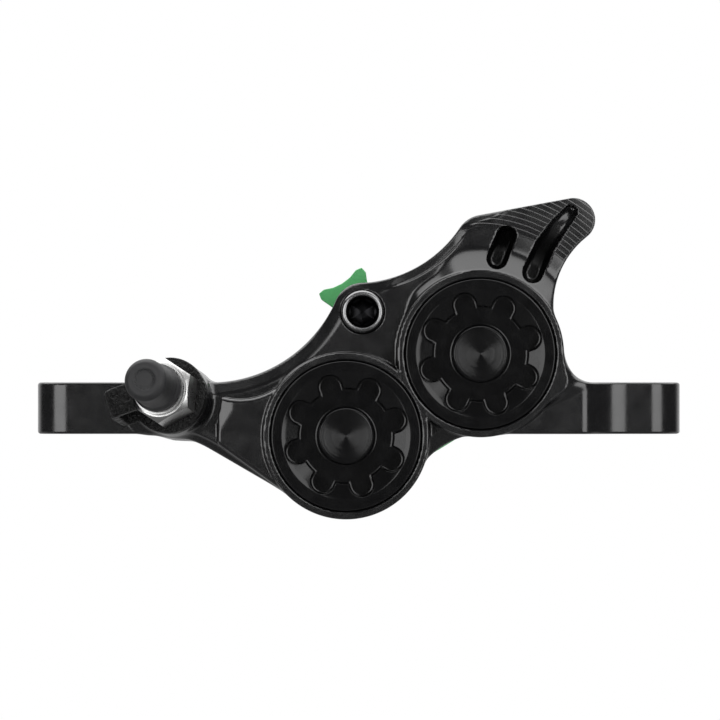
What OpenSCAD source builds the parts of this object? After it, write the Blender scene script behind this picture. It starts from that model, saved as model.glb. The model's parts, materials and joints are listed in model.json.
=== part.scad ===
// Four-piston post-mount disc brake caliper for a bicycle, with its pads, pistons and bleed nipple.
// Frame: X runs along the mounting ears, Y across the wheel from the outboard to the inboard side,
// and Z away from the axle. The origin is midway between the two bolt slots, on the seats of the ears.

/* [Mounting ears] */
// Distance between the two bolt slots
post_spacing = 74.2; // [73:0.1:76]
// Thickness of an ear along its bolt
ear_thickness = 7.1; // [6:0.1:8]
// From a slot's centre to the end of its ear
ear_reach = 7.25; // [6.5:0.05:8]
// Width of an ear across the wheel
ear_width = 14.4; // [13.6:0.1:16]
// Width of a bolt slot
slot_width = 6.4; // [6.2:0.1:6.8]
// End to end length of a bolt slot
slot_length = 9.4; // [8:0.1:10]

/* [Bores and pistons] */
// Diameter of a piston bore
bore_d = 16; // [15:0.1:16.6]
// Distance between the two bores of one side
bore_pitch = 21.7; // [21.7:0.1:23]
// Slope of the line through the two bores
bore_angle = 31.4; // [30:0.2:33]
// Midpoint of the bores along the ears
mid_x = 7.5; // [6:0.1:9]
// Midpoint of the bores above the ear seats
mid_z = 5.4; // [5:0.1:6]
// Length of a piston
piston_length = 10.6; // [9.5:0.1:11.5]
// Outer diameter of a bore cap
cap_d = 20.6; // [20.4:0.1:20.8]

/* [Pads and rotor] */
// Distance of the rotor plane from the slot centres
rotor_offset = 10.5; // [10:0.1:11]
// Gap between the two friction faces
pad_gap = 2.5; // [2:0.1:3]
// Thickness of the friction material
friction_t = 2; // [1.5:0.1:2.5]
// Thickness of a backing plate
backing_t = 2; // [1.6:0.1:2.4]
// Length of a backing plate
pad_length = 38; // [36:0.2:38.6]
// Distance of the pad pin from the line of the bores
pin_height = 13.4; // [13:0.1:14]
// Diameter of the pad pin's shank
pin_d = 4; // [3.6:0.1:4.2]

/* [Body] */
// Height of the cap bosses above the front face
boss_height = 3.1; // [2.6:0.1:3.6]
// Width of the bevel around the front face
bevel = 1.8; // [1.2:0.1:2.2]
// Distance of the tail's tip from the middle of the bores, along their line
tail_reach = 31.5; // [30:0.1:33]
// Radius of the tail's tip
tail_tip_r = 3; // [2.6:0.1:3.4]

/* [Bleed nipple] */
// Distance of the nipple from its ear's slot
nipple_inset = 11.1; // [10.8:0.1:12]
// Lean of the nipple away from the caliper's middle
nipple_lean_out = 14.6; // [12:0.2:16]
// Lean of the nipple upwards
nipple_lean_up = 10; // [8:0.2:12]
// Width across the flats of the nipple's hex
hex_af = 8; // [7.6:0.1:8.4]

/* [Hidden] */
$fn = 96;
// Fits and small clearances
piston_clear = 0.04;
seal_clear = 0.03;
shank_clear = 0.03;
cap_clear = 0.1;
cap_chamfer = 0.35;
pad_clear = 0.4;
pin_clear = 0.15;
// How far the pistons stand out of their bores, and the room behind them
piston_out = 0.5;
chamber = 0.55;

// Depths across the wheel, on the outboard side
cavity_half = pad_gap / 2 + friction_t + backing_t + piston_out;
cavity_y = rotor_offset - cavity_half;
piston_front = cavity_y + piston_out;
piston_back = piston_front - piston_length;
skirt_end = piston_back - chamber;
skirt_length = 2.8;
flange_t = 3.3;
flange_under = skirt_end - skirt_length;
cap_face = flange_under - flange_t;
cap_proud = 0.4;
boss_face = cap_face + cap_proud;
front_y = boss_face + boss_height;
// The body's inboard side
inner_wall = 2 * rotor_offset - cavity_y;
blind_floor = 2 * rotor_offset - piston_back + 0.5;
back_wall = 3.4;
back_face = blind_floor + back_wall;
back_y = back_face - 3.6;

// Radii around a bore
bore_r = bore_d / 2;
piston_r = bore_r - piston_clear;
seal_depth = 1.6;
seal_width = 2;
seal_y = cavity_y - 1.2 - seal_width;
cap_r = cap_d / 2;
thread_r = bore_r + 1.4;
boss_r = cap_r + cap_clear + 1.1;
inboard_boss_r = boss_r - 0.4;

// A point in the XZ plane from its place along the bore line (u) and across it (v)
function at(u, v) = [
  mid_x + u * cos(bore_angle) - v * sin(bore_angle),
  mid_z + u * sin(bore_angle) + v * cos(bore_angle)
];
lower = at(-bore_pitch / 2, 0);
upper = at(bore_pitch / 2, 0);
pin_at = at(0, pin_height);
pin_boss_r = 4;
tail_tip = at(tail_reach, 9.1);
shoulder = at(19.2, 12.7);
shoulder_r = 4;
arm_x = -post_spacing / 2 + 8.8;
neck_x = post_spacing / 2 - 5.8;
ear_end = post_spacing / 2 + ear_reach;

// The bleed nipple's own frame: local Z is its axis, pointing away from the body
nipple_x = -post_spacing / 2 + nipple_inset;
nipple_boss_r = 5.2;
nipple_y = front_y - 1.1;
module on_nipple()
  translate([nipple_x, nipple_y, nipple_boss_r])
    rotate([0, 0, -nipple_lean_out]) rotate([-nipple_lean_up, 0, 0]) rotate([90, 0, 0]) children();
nipple_axis = [
  -sin(nipple_lean_out) * cos(nipple_lean_up),
  -cos(nipple_lean_out) * cos(nipple_lean_up),
  sin(nipple_lean_up)
];
nipple_r = 3;
nipple_hole = 8.4;
nipple_boss_length = 5;
collar_r = 0.45 * hex_af;
strap_reach = 2.1 * collar_r;
spanner_r = strap_reach + 0.8;
spanner_depth = 2.5;
nipple_seat = [nipple_x, nipple_y, nipple_boss_r] - (nipple_hole + 1.2) * nipple_axis;
// The drilling that carries fluid to the inboard side starts at the nipple's seat
crossover = [nipple_seat[0], nipple_seat[2]];

// Outlines as a belt around discs. A disc is [centre, radius]: a negative radius lies outside the
// outline and gives a hollow curve. The belt runs anticlockwise.
function wrap(a) = a - 360 * floor(a / 360);
function clamp1(x) = min(1, max(-1, x));
function belt_angle(a, b) =
  atan2(b[0][1] - a[0][1], b[0][0] - a[0][0]) - acos(clamp1((a[1] - b[1]) / norm(b[0] - a[0])));
function sweep(r, from, to) = r > 0 ? wrap(to - from) : -wrap(from - to);
function steps(r, turn) = max(2, ceil(abs(r * turn) / 57.3 / 1.8));
function bend(disc, inset, from, turn) =
  let (n = steps(disc[1], turn))
  [for (i = [0:n]) disc[0] + (disc[1] - inset) * [cos(from + turn * i / n), sin(from + turn * i / n)]];
// Leaves out a point that lies on the next one, as where a disc touches its neighbour
function unrepeated(points) =
  let (n = len(points))
  [for (i = [0:n - 1]) if (norm(points[i] - points[(i + 1) % n]) > 0.005) points[i]];
function belt(discs, inset = 0) =
  let (n = len(discs))
  unrepeated([for (i = [0:n - 1])
    let (from = belt_angle(discs[(i + n - 1) % n], discs[i]))
    let (to = belt_angle(discs[i], discs[(i + 1) % n]))
    each bend(discs[i], inset, from, sweep(discs[i][1], from, to))]);

// The hollow disc of radius r that touches two discs a and b, on the right of the way from a to b
function hollow(a, b, r) =
  let (d = norm(b[0] - a[0]), ra = a[1] + r, rb = b[1] + r)
  let (along = (ra * ra - rb * rb + d * d) / (2 * d))
  let (e = (b[0] - a[0]) / d, h = sqrt(ra * ra - along * along))
  [a[0] + along * e + h * [e[1], -e[0]], -r];

// The body's outline, seen from the outboard side
core_r = boss_r - 0.5;
lower_disc = [lower, core_r];
upper_disc = [upper, core_r];
tip_disc = [tail_tip, tail_tip_r];
shoulder_disc = [shoulder, shoulder_r];
pin_disc = [pin_at, pin_boss_r];
ear_mid = ear_thickness / 2;
// The hollow curve of radius r that runs from the pin's boss into the top of the left ear
function arm_curve(pin, r) =
  let (z = ear_thickness + r)
  [[pin[0][0] - sqrt(pow(pin[1] + r, 2) - pow(z - pin[0][1], 2)), z], -r];
under_r = 15.6;
outboard_discs = [
  [[arm_x, ear_mid], ear_mid],
  [[arm_x, -under_r], -under_r],
  lower_disc,
  hollow(lower_disc, upper_disc, 11.2),
  upper_disc,
  hollow(upper_disc, tip_disc, 12.2),
  tip_disc,
  shoulder_disc,
  hollow(shoulder_disc, pin_disc, 17.3),
  pin_disc,
  arm_curve(pin_disc, 19)
];

// The raised arm of the front face, which runs from the lower cap's boss to the nipple's boss
arm_face = boss_face + 0.8;
arm_edge = 1.1;
arm_hollow_r = 9;
arm_start = [lower, boss_r - 0.25];
arm_end = [[nipple_x, nipple_boss_r], nipple_boss_r - 1.3];
raised_arm_discs = [
  arm_end,
  [[arm_x, -under_r], -under_r - arm_edge],
  arm_start,
  hollow(arm_start, arm_end, arm_hollow_r)
];

// The inboard side is a little smaller and has no ears
inboard_lower = [lower, inboard_boss_r - 0.5];
inboard_upper = [upper, inboard_boss_r - 0.5];
inboard_tip = [at(tail_reach - 5, 10.2), 3.2];
inboard_shoulder = [at(18.9, 12.2), shoulder_r];
inboard_pin = [pin_at, pin_boss_r - 0.3];
inboard_arm = [crossover, ear_mid - 0.3];
inboard_discs = [
  inboard_arm,
  inboard_lower,
  hollow(inboard_lower, inboard_upper, 11.6),
  inboard_upper,
  hollow(inboard_upper, inboard_tip, 10),
  inboard_tip,
  inboard_shoulder,
  hollow(inboard_shoulder, inboard_pin, 17.8),
  inboard_pin,
  hollow(inboard_pin, inboard_arm, 18.5)
];

// A flat outline in the XZ plane, given depth from y0 to y1
module slab(y0, y1) translate([0, y1, 0]) rotate([90, 0, 0]) linear_extrude(y1 - y0) children();
// A plate from y0 to y1 with a bevel milled in steps at its y0 end, or at its y1 end if back is true
bevel_steps = 3;
module bevelled(discs, y0, y1, back = false) {
  for (i = [0:bevel_steps]) {
    inset = bevel * i / bevel_steps;
    inner = bevel + 1 + i / 5;
    front_end = back ? (i == 0 ? y0 : y1 - inner) : y0 + bevel - inset;
    back_end = back ? y1 - bevel + inset : (i == 0 ? y1 : y0 + inner);
    slab(front_end, back_end) polygon(belt(discs, inset));
  }
}
// A round bar along Y
module bar(p, y0, y1, r) translate([p[0], y0, p[1]]) rotate([-90, 0, 0]) cylinder(h = y1 - y0, r = r);
// A turned piece around Y from a profile of [radius, y] points
module turned(p, profile)
  translate([p[0], 0, p[1]]) rotate([-90, 0, 0]) rotate_extrude() polygon(profile);
// A drilling from p to q
module drilling(p, q, r) {
  d = q - p;
  translate(p)
    rotate([0, acos(d[2] / norm(d)), atan2(d[1], d[0])])
      cylinder(h = norm(d), r = r, $fn = 24);
}
// What follows the bore line: local X along it, local Z across it
module on_pads() translate([mid_x, 0, mid_z]) rotate([0, -bore_angle, 0]) children();
// The same piece on the inboard side
module inboard() translate([0, 2 * rotor_offset, 0]) mirror([0, 1, 0]) children();

// The hose port, on top of the inboard side behind the tail
port_x = shoulder[0] + 2.3;
port_y = rotor_offset + 10.4;
port_z = shoulder[1] + 1.7;
port_r = 3.45;
port_depth = 7;

// Ears, with the neck that carries the right one
ear_corner = 4.2;
ear_half = ear_width / 2;
neck_y = front_y - 2;
neck_fillet = 5;
module ear_corners(x)
  polygon(belt([
    [[x - ear_corner, -ear_half + ear_corner], ear_corner],
    [[x - ear_corner, ear_half - ear_corner], ear_corner],
    [[arm_x + 2, ear_half - 1], 1],
    [[arm_x + 2, -ear_half + 1], 1]
  ]));
// The hollow curve between the upper boss and the top of the right ear
neck_curve_r = 4;
neck_curve_z = ear_thickness + neck_curve_r;
neck_curve = [
  upper[0] + sqrt(pow(core_r + neck_curve_r, 2) - pow(neck_curve_z - upper[1], 2)),
  neck_curve_z
];
module neck_web() {
  turn = atan2(upper[1] - neck_curve[1], upper[0] - neck_curve[0]);
  to = turn < 0 ? turn + 360 : turn;
  slab(front_y + bevel, ear_half - 0.5)
    polygon(concat(
      [[upper[0], neck_curve_z], [upper[0], ear_mid], [neck_curve[0], ear_mid]],
      [for (i = [0:5]) let (a = 270 + (to - 270) * i / 5) neck_curve + neck_curve_r * [cos(a), sin(a)]]
    ));
}
module right_ear() {
  neck_web();
  fillet = [neck_x + neck_fillet, -ear_half - neck_fillet];
  from = 180 - asin(clamp1((neck_y - fillet[1]) / neck_fillet));
  turn = (90 - from) / 8;
  linear_extrude(ear_thickness) {
    intersection() {
      ear_corners(ear_end);
      translate([upper[0], -ear_width]) square([ear_end, 2 * ear_width]);
    }
    polygon(concat(
      [[upper[0] + 2, -ear_half + 2], [upper[0] + 2, neck_y]],
      [for (i = [0:8]) fillet + neck_fillet * [cos(from + turn * i), sin(from + turn * i)]],
      [[fillet[0], -ear_half + 2]]
    ));
  }
}
module left_ear()
  linear_extrude(ear_thickness)
    intersection() {
      mirror([1, 0]) ear_corners(ear_end);
      translate([-2 * ear_end, -ear_width]) square([2 * ear_end + arm_x + 6, 2 * ear_width]);
    }
module bolt_slot(x) {
  reach = (slot_length - slot_width) / 2;
  for (s = [-1, 1])
    translate([x, s * reach, -1]) cylinder(h = ear_thickness + 2, d = slot_width);
  translate([x - slot_width / 2, -reach, -1]) cube([slot_width, 2 * reach, ear_thickness + 2]);
}

// The pad cavity, open at the top, and the slot that the rotor runs in
cavity_u = pad_length / 2 + pad_clear;
cavity_v = -8.8;
module pad_cavity() {
  corner = 6.2;
  on_pads() slab(cavity_y, inner_wall)
    polygon(concat(
      [[cavity_u, 40], [-cavity_u, 40]],
      bend([[-cavity_u + corner, cavity_v + corner], corner], 0, 180, 90),
      bend([[cavity_u - corner, cavity_v + corner], corner], 0, 270, 90)
    ));
}
rotor_slot = 3.4;
rotor_room_r = 103.3;
rotor_rim = 9.8;
module rotor_room()
  on_pads() translate([0, rotor_offset, 0])
    bar([0, rotor_rim - rotor_room_r], -rotor_slot / 2, rotor_slot / 2, rotor_room_r);

// One outboard bore, with its seal groove and the seat of its cap
seal_r = bore_r + seal_depth;
seat_r = cap_r + cap_clear;
thread_end = skirt_end + 0.65;
module outboard_bore(p)
  turned(p, [
    [0, cavity_y + 1], [bore_r, cavity_y + 1],
    [bore_r, seal_y + seal_width], [seal_r, seal_y + seal_width], [seal_r, seal_y], [bore_r, seal_y],
    [bore_r, thread_end], [thread_r, thread_end], [thread_r, flange_under], [seat_r, flange_under],
    [seat_r, boss_face + cap_chamfer], [seat_r + cap_chamfer, boss_face],
    [seat_r + cap_chamfer, boss_face - 1], [0, boss_face - 1]
  ]);
module inboard_bore(p) {
  bar(p, inner_wall - 1, blind_floor, bore_r);
  inboard() bar(p, seal_y, seal_y + seal_width, seal_r);
}

// The tail's front is turned around the upper bore: a cove at the boss, then a face that falls away
tail_turn_r = boss_r + 4.1;
tail_fall_r = 13;
tail_cove_r = 4;
tail_from = [12, 9.6];
module tail_side()
  translate([tail_from[0], front_y - 9, upper[1] + tail_from[1]]) cube([post_spacing, 20, post_spacing]);
module tail_fall()
  intersection() {
    turned(upper, concat(
      [[tail_turn_r, front_y - 6], [tail_turn_r, front_y - 0.03]],
      [for (i = [2:9]) let (w = 1.2 * i) [tail_turn_r + w, front_y + w * w / (2 * tail_fall_r)]],
      [[tail_turn_r + 10.8, front_y - 6]]
    ));
    tail_side();
  }
module tail_cove() {
  boss_side = boss_face + 0.4;
  steepest = asin((tail_cove_r - front_y + boss_side) / tail_cove_r);
  intersection() {
    turned(upper, concat(
      [[boss_r - 1, front_y + 0.5], [boss_r - 1, boss_side]],
      [for (i = [0:4]) let (a = steepest + (78 - steepest) * i / 4)
        [boss_r + tail_cove_r * (1 - cos(a)), front_y - tail_cove_r * (1 - sin(a))]],
      [[boss_r + tail_cove_r, front_y + 0.5]]
    ));
    slab(boss_face, front_y + 1) polygon(belt(outboard_discs, bevel));
    tail_side();
  }
}
// Two blind grooves in the tail's face
groove_floor = front_y + 6.4;
module tail_grooves() {
  first = [[at(19.65, 10), 1.5], [at(22.4, 12), 1.45]];
  second = [[at(22.85, 5.8), 1.5], [at(26.1, 8), 1.4], [at(29.3, 9.4), 1.25], [at(31.7, 10.2), 1]];
  slab(front_y - 9, groove_floor) polygon(belt(first));
  for (i = [0:len(second) - 2])
    slab(front_y - 9, groove_floor) polygon(belt([second[i], second[i + 1]]));
}

// Fluid drillings between the bores, the nipple and the hose port
gallery_r = 1;
plug_r = 1.4;
plug_length = 2.4;
outer_link_y = skirt_end + 0.4;
inner_link_y = blind_floor - 1.3;
module galleries() {
  drilling(nipple_seat + 2 * nipple_axis, nipple_seat - 0.6 * nipple_axis, gallery_r);
  bar(crossover, nipple_seat[1] - 0.4, back_y + 1, gallery_r);
  bar(crossover, back_y - plug_length, back_y + 1, plug_r);
  drilling([crossover[0], back_y - 4.5, crossover[1]], [lower[0], inner_link_y, lower[1]], gallery_r);
  drilling([lower[0], inner_link_y, lower[1]], [upper[0], inner_link_y, upper[1]], gallery_r);
  drilling([lower[0], outer_link_y, lower[1]], [upper[0], outer_link_y, upper[1]], gallery_r);
  drilling([crossover[0], nipple_seat[1], crossover[1]], [lower[0], outer_link_y, lower[1]], gallery_r);
  drilling([port_x, port_y, port_z - port_depth + 0.5], [upper[0], inner_link_y, upper[1] + 3], gallery_r);
}

// Pin bores: a threaded head in the outboard side, a plain bore in the inboard side
pin_r = pin_d / 2;
pin_head_r = pin_r + 0.95;
pin_head_length = 7.2;
pin_face = front_y - 0.6;
pin_end = back_y + 1.9;
module pin_bores() {
  bar(pin_at, front_y - 3, pin_face + pin_head_length + 0.3, pin_head_r + 0.05);
  bar(pin_at, front_y, back_y + 3, pin_r + pin_clear);
}

// The raised arm, with room for a spanner around the nipple
module raised_arm()
  difference() {
    slab(arm_face, front_y + bevel) polygon(belt(raised_arm_discs));
    on_nipple() translate([0, 0, -spanner_depth]) cylinder(h = spanner_depth + hex_af, r = spanner_r);
  }
// The body before its bores are cut: two plates with bosses and ears, hollowed for the pads and the rotor
boss_chamfer = 0.4;
back_chamfer = 1;
wall_overlap = 0.3;
module body_blank()
  difference() {
    union() {
      bevelled(outboard_discs, front_y, ear_half);
      bevelled(inboard_discs, ear_half - 2, back_y, back = true);
      raised_arm();
      tail_cove();
      for (p = [lower, upper]) {
        turned(p, [
          [0, cavity_y - wall_overlap], [0, boss_face], [boss_r - boss_chamfer, boss_face],
          [boss_r, boss_face + boss_chamfer], [boss_r, cavity_y - wall_overlap]
        ]);
        turned(p, [
          [0, inner_wall + wall_overlap], [inboard_boss_r, inner_wall + wall_overlap],
          [inboard_boss_r, back_face - back_chamfer], [inboard_boss_r - back_chamfer, back_face],
          [0, back_face]
        ]);
      }
      left_ear();
      right_ear();
      on_nipple() translate([0, 0, -nipple_boss_length]) cylinder(h = nipple_boss_length, r = nipple_boss_r);
    }
    pad_cavity();
    rotor_room();
    tail_fall();
    tail_grooves();
  }
module caliper_body()
  color([0.05, 0.05, 0.055])
  difference() {
    difference() {
      body_blank();
      for (p = [lower, upper]) {
        outboard_bore(p);
        inboard_bore(p);
      }
      pin_bores();
      for (s = [-1, 1]) bolt_slot(s * post_spacing / 2);
    }
    on_nipple() translate([0, 0, -nipple_hole]) cylinder(h = nipple_hole + 1, r = nipple_r);
    on_nipple() translate([0, 0, -nipple_hole - 1.2]) cylinder(h = 1.21, r1 = 1.2, r2 = nipple_r);
    translate([port_x, port_y, port_z - port_depth]) cylinder(h = port_depth + 1, r = port_r);
    translate([port_x, port_y, port_z]) cylinder(h = 12, r = port_r + 1.15);
    galleries();
  }

// A bore cap: a flange with an eight-lobed tool recess around a turned centre, on a threaded skirt
recess_floor = cap_face + 2.3;
recess_r = 0.641 * cap_r;
cone_r = 0.854 * cap_r;
centre_r = 0.379 * cap_r;
lobe_r = 0.17 * cap_r;
lobe_at = recess_r + 0.4;
skirt_bore = thread_r - 2.2;
skirt_wall = thread_r - 0.05;
oring_groove = thread_r - 0.85;
module bore_cap(p)
  color([0.06, 0.06, 0.065])
  difference() {
    turned(p, [
      [0, skirt_end - 1.9], [skirt_bore, skirt_end - 1.9], [skirt_bore, skirt_end], [skirt_wall, skirt_end],
      [skirt_wall, flange_under + 1.3], [oring_groove, flange_under + 1.3], [oring_groove, flange_under],
      [cap_r, flange_under], [cap_r, cap_face + 0.25], [cap_r - 0.25, cap_face],
      [cone_r, cap_face], [recess_r, cap_face + 1.1], [recess_r, recess_floor],
      [centre_r, recess_floor], [centre_r, cap_face + 0.9],
      [centre_r - 0.3, cap_face + 0.6], [0, cap_face + 0.75]
    ]);
    for (k = [0:7]) {
      a = 18 + 45 * k;
      bar(p + lobe_at * [cos(a), sin(a)], cap_face - 1, recess_floor, lobe_r);
    }
  }
module cap_oring(p)
  color([0.03, 0.03, 0.03])
  translate([p[0], flange_under + 0.65, p[1]]) rotate([-90, 0, 0])
    rotate_extrude() translate([thread_r - 0.43, 0]) circle(r = 0.41, $fn = 32);

// A piston, with a pocket on the pad's side
pocket_r = 0.65 * bore_r;
pocket_floor = piston_front - 6.5;
module piston(p)
  color([0.16, 0.13, 0.11])
  turned(p, [
    [0, piston_back], [piston_r - 0.5, piston_back], [piston_r, piston_back + 0.5],
    [piston_r, piston_front - 0.4], [piston_r - 0.4, piston_front],
    [pocket_r, piston_front], [pocket_r - 0.2, pocket_floor], [0, pocket_floor]
  ]);
module piston_seal(p)
  color([0.04, 0.04, 0.04])
  turned(p, [
    [piston_r + seal_clear, seal_y + 0.05], [seal_r - 0.05, seal_y + 0.05],
    [seal_r - 0.05, seal_y + seal_width - 0.05], [piston_r + seal_clear, seal_y + seal_width - 0.05]
  ]);

// A pad: backing plate with a forked tab on the pin, and its friction block
plate_y = piston_front;
pad_u = pad_length / 2;
pad_low = -8.4;
pad_high = 8.6;
tab_top = pin_height + 5.55;
tab_shift = -0.35;
tab_half = 3.7;
tab_lobe_r = 0.75;
tab_dip_r = 6;
tab_lobe_u = tab_half - tab_lobe_r;
tab_lobe_v = tab_top - tab_lobe_r;
tab_dip_turn = acos(tab_lobe_u / (tab_dip_r + tab_lobe_r));
tab_dip_v = tab_lobe_v + (tab_dip_r + tab_lobe_r) * sin(tab_dip_turn);
module plate_outline() {
  corner = 5.8;
  top = 3;
  polygon(concat(
    bend([[pad_u - corner, pad_low + corner], corner], 0, 270, 90),
    bend([[pad_u - top, pad_high - top], top], 0, 0, 90),
    bend([[8.5, pad_high + 3], -3], 0, 90, -60),
    [[4.6, pin_height - 1], [tab_shift + tab_half - 0.85, pin_height + 2.7]],
    bend([[tab_shift + tab_lobe_u, tab_lobe_v], tab_lobe_r], 0, -24, 204 - tab_dip_turn),
    bend([[tab_shift, tab_dip_v], -tab_dip_r], 0, 180 - tab_dip_turn, 2 * tab_dip_turn - 180),
    bend([[tab_shift - tab_lobe_u, tab_lobe_v], tab_lobe_r], 0, tab_dip_turn, 204 - tab_dip_turn),
    [[tab_shift - tab_half + 0.85, pin_height + 2.7], [-4.6, pin_height - 1]],
    bend([[-8.5, pad_high + 3], -3], 0, 150, -60),
    bend([[-pad_u + top, pad_high - top], top], 0, 90, 90),
    bend([[-pad_u + corner, pad_low + corner], corner], 0, 180, 90)
  ));
}
module backing_plate()
  color([0.27, 0.63, 0.36])
  difference() {
    on_pads() slab(plate_y, plate_y + backing_t) plate_outline();
    bar(pin_at, plate_y - 1, plate_y + backing_t + 1, pin_r + pin_clear);
  }
module friction_block() {
  y0 = plate_y + backing_t;
  corner = 5;
  color([0.2, 0.19, 0.18])
  difference() {
    on_pads() slab(y0, y0 + friction_t)
      polygon(concat(
        bend([[pad_u - 1.4 - corner, pad_low + 0.4 + corner], corner], 0, 270, 90),
        bend([[pad_u - 3.4, pad_high - 3.4], 2], 0, 0, 90),
        bend([[-pad_u + 3.4, pad_high - 3.4], 2], 0, 90, 90),
        bend([[-pad_u + 1.4 + corner, pad_low + 0.4 + corner], corner], 0, 180, 90)
      ));
    on_pads() translate([-0.6, y0 + friction_t - 1.2, pad_low - 1]) cube([1.2, 2, 2 * pad_u]);
  }
}

// The leaf spring that pushes the two pads apart
spring_t = 0.35;
spring_half = pad_gap / 2 + friction_t;
spring_neck = 2.8;
spring_arm = 0.58 * pad_u;
spring_top = pin_height + 3.4;
spring_low = pad_high - 0.9;
module pad_spring()
  color([0.72, 0.72, 0.7])
  difference() {
    on_pads() {
      for (s = [-1, 1]) {
        y0 = rotor_offset + (s > 0 ? spring_half - spring_t : -spring_half);
        slab(y0, y0 + spring_t)
          polygon([
            [-spring_neck, spring_top], [-spring_neck, spring_low + 2.5],
            [-spring_arm, spring_low + 1.3], [-spring_arm, spring_low],
            [spring_arm, spring_low], [spring_arm, spring_low + 1.3],
            [spring_neck, spring_low + 2.5], [spring_neck, spring_top]
          ]);
      }
      slab(rotor_offset - spring_half, rotor_offset + spring_half)
        translate([-spring_neck, spring_top - spring_t]) square([2 * spring_neck, spring_t]);
    }
    bar(pin_at, cavity_y, inner_wall, pin_r + 0.4);
  }

// The pad pin: a threaded head with a hex socket, a plain shank and a groove for its clip
clip_t = 0.6;
clip_y = back_y + 0.3;
clip_r = pin_r + 1.6;
clip_groove = pin_r - 0.6;
clip_mouth = 0.65 * pin_d;
socket_af = 0.75 * pin_d;
socket_depth = 3;
socket_r = socket_af / sqrt(3);
module pad_pin()
  color([0.3, 0.3, 0.31])
  difference() {
    turned(pin_at, [
      [0, pin_face], [pin_head_r - 0.6, pin_face], [pin_head_r, pin_face + 0.6],
      [pin_head_r, pin_face + pin_head_length], [pin_r, pin_face + pin_head_length], [pin_r, clip_y - 0.05],
      [clip_groove, clip_y - 0.05], [clip_groove, clip_y + clip_t + 0.05], [pin_r, clip_y + clip_t + 0.05],
      [pin_r, pin_end - 0.5], [pin_r - 0.5, pin_end], [0, pin_end]
    ]);
    bar(pin_at, pin_face - 1, pin_face + socket_depth, socket_r, $fn = 6);
    turned(pin_at, [
      [0, pin_face - 0.1], [socket_r + 0.3, pin_face - 0.1],
      [socket_r - 0.2, pin_face + 0.4], [0, pin_face + 0.4]
    ]);
  }
module pin_clip()
  color([0.66, 0.66, 0.65])
  difference() {
    bar(pin_at, clip_y, clip_y + clip_t, clip_r);
    bar(pin_at, clip_y - 1, clip_y + clip_t + 1, clip_groove + 0.04);
    translate([pin_at[0] - clip_mouth / 2, clip_y - 1, pin_at[1] - 2 * clip_r])
      cube([clip_mouth, clip_t + 2, 2 * clip_r]);
  }

// The bleed nipple, its rubber cap and the cap's tether
ring_t = 1;
hex_t = 4.4;
collar_top = ring_t + 0.05 + hex_t + 0.9;
barb_top = collar_top + 6;
barb_r = 0.65 * collar_r;
channel_r = 0.8;
module bleed_nipple()
  color([0.78, 0.78, 0.78])
  on_nipple()
  difference() {
    union() {
      translate([0, 0, -nipple_hole - 0.6]) cylinder(h = 1.3, r1 = 1.3, r2 = nipple_r - shank_clear - 0.3);
      translate([0, 0, -nipple_hole + 0.69]) cylinder(h = nipple_hole + ring_t, r = nipple_r - shank_clear);
      intersection() {
        translate([0, 0, ring_t + 0.05]) rotate([0, 0, 28]) cylinder(h = hex_t, d = hex_af / cos(30), $fn = 6);
        rotate_extrude() polygon([[0, 0], [hex_af * 0.6, 0], [hex_af * 0.6, ring_t + hex_t - 0.75],
          [hex_af * 0.47, ring_t + hex_t + 0.1], [0, ring_t + hex_t + 0.1]]);
      }
      translate([0, 0, ring_t + hex_t]) cylinder(h = collar_top - ring_t - hex_t, r = collar_r);
      translate([0, 0, collar_top - 0.01]) cylinder(h = barb_top - collar_top - 1.4, r = barb_r);
      translate([0, 0, barb_top - 1.42]) cylinder(h = 1.42, r1 = barb_r + 0.3, r2 = barb_r - 0.4);
    }
    translate([0, 0, -nipple_hole + 2]) cylinder(h = nipple_hole + barb_top, r = channel_r);
    translate([0, 0, -nipple_hole + 3.5 * channel_r]) rotate([90, 0, 0])
      cylinder(h = hex_af, r = channel_r - 0.1, center = true);
  }
cap_inner = barb_r + 0.34;
cap_outer = cap_inner + 0.3;
cap_lip = collar_r - 0.25;
cap_end_t = 1.3;
cap_top = barb_top + cap_end_t;
module dust_cap()
  color([0.05, 0.05, 0.05])
  on_nipple()
    rotate_extrude() polygon([
      [cap_inner, collar_top + 0.02], [cap_lip, collar_top + 0.02], [cap_lip, collar_top + 1],
      [cap_outer, collar_top + 1.4], [cap_outer, cap_top - 0.6], [cap_outer - 0.6, cap_top],
      [cap_outer - 1.4, cap_top], [cap_outer - 1.8, cap_top - 0.35],
      [0, cap_top - 0.35], [0, barb_top + 0.1], [cap_inner, barb_top + 0.1]
    ]);
ring_r = nipple_boss_r - 0.3;
strap_w = 1.22 * collar_r;
strap_t = 1.2;
strap_top = collar_top + 1.6;
strap_turn = 200;
module dust_cap_tether()
  color([0.05, 0.05, 0.05])
  on_nipple() {
    difference() {
      cylinder(h = ring_t, r = ring_r);
      translate([0, 0, -ring_t]) cylinder(h = 3 * ring_t, r = nipple_r + 0.15);
    }
    rotate([0, 0, strap_turn]) difference() {
      translate([collar_r, -strap_w / 2, 0]) cube([strap_reach - collar_r, strap_w, strap_top]);
      translate([ring_r + 0.1, -strap_w, ring_t])
        cube([strap_reach - strap_t - ring_r - 0.1, 2 * strap_w, strap_top - strap_t - ring_t]);
      translate([0, 0, ring_t]) cylinder(h = strap_top - strap_t - ring_t, r = ring_r + 0.7);
      translate([0, 0, ring_t]) cylinder(h = cap_top, r = cap_lip + 0.07);
    }
  }

module gallery_plugs()
  color([0.6, 0.6, 0.6])
  bar(crossover, back_y - plug_length + 0.02, back_y - 0.2, plug_r - 0.02);

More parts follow.
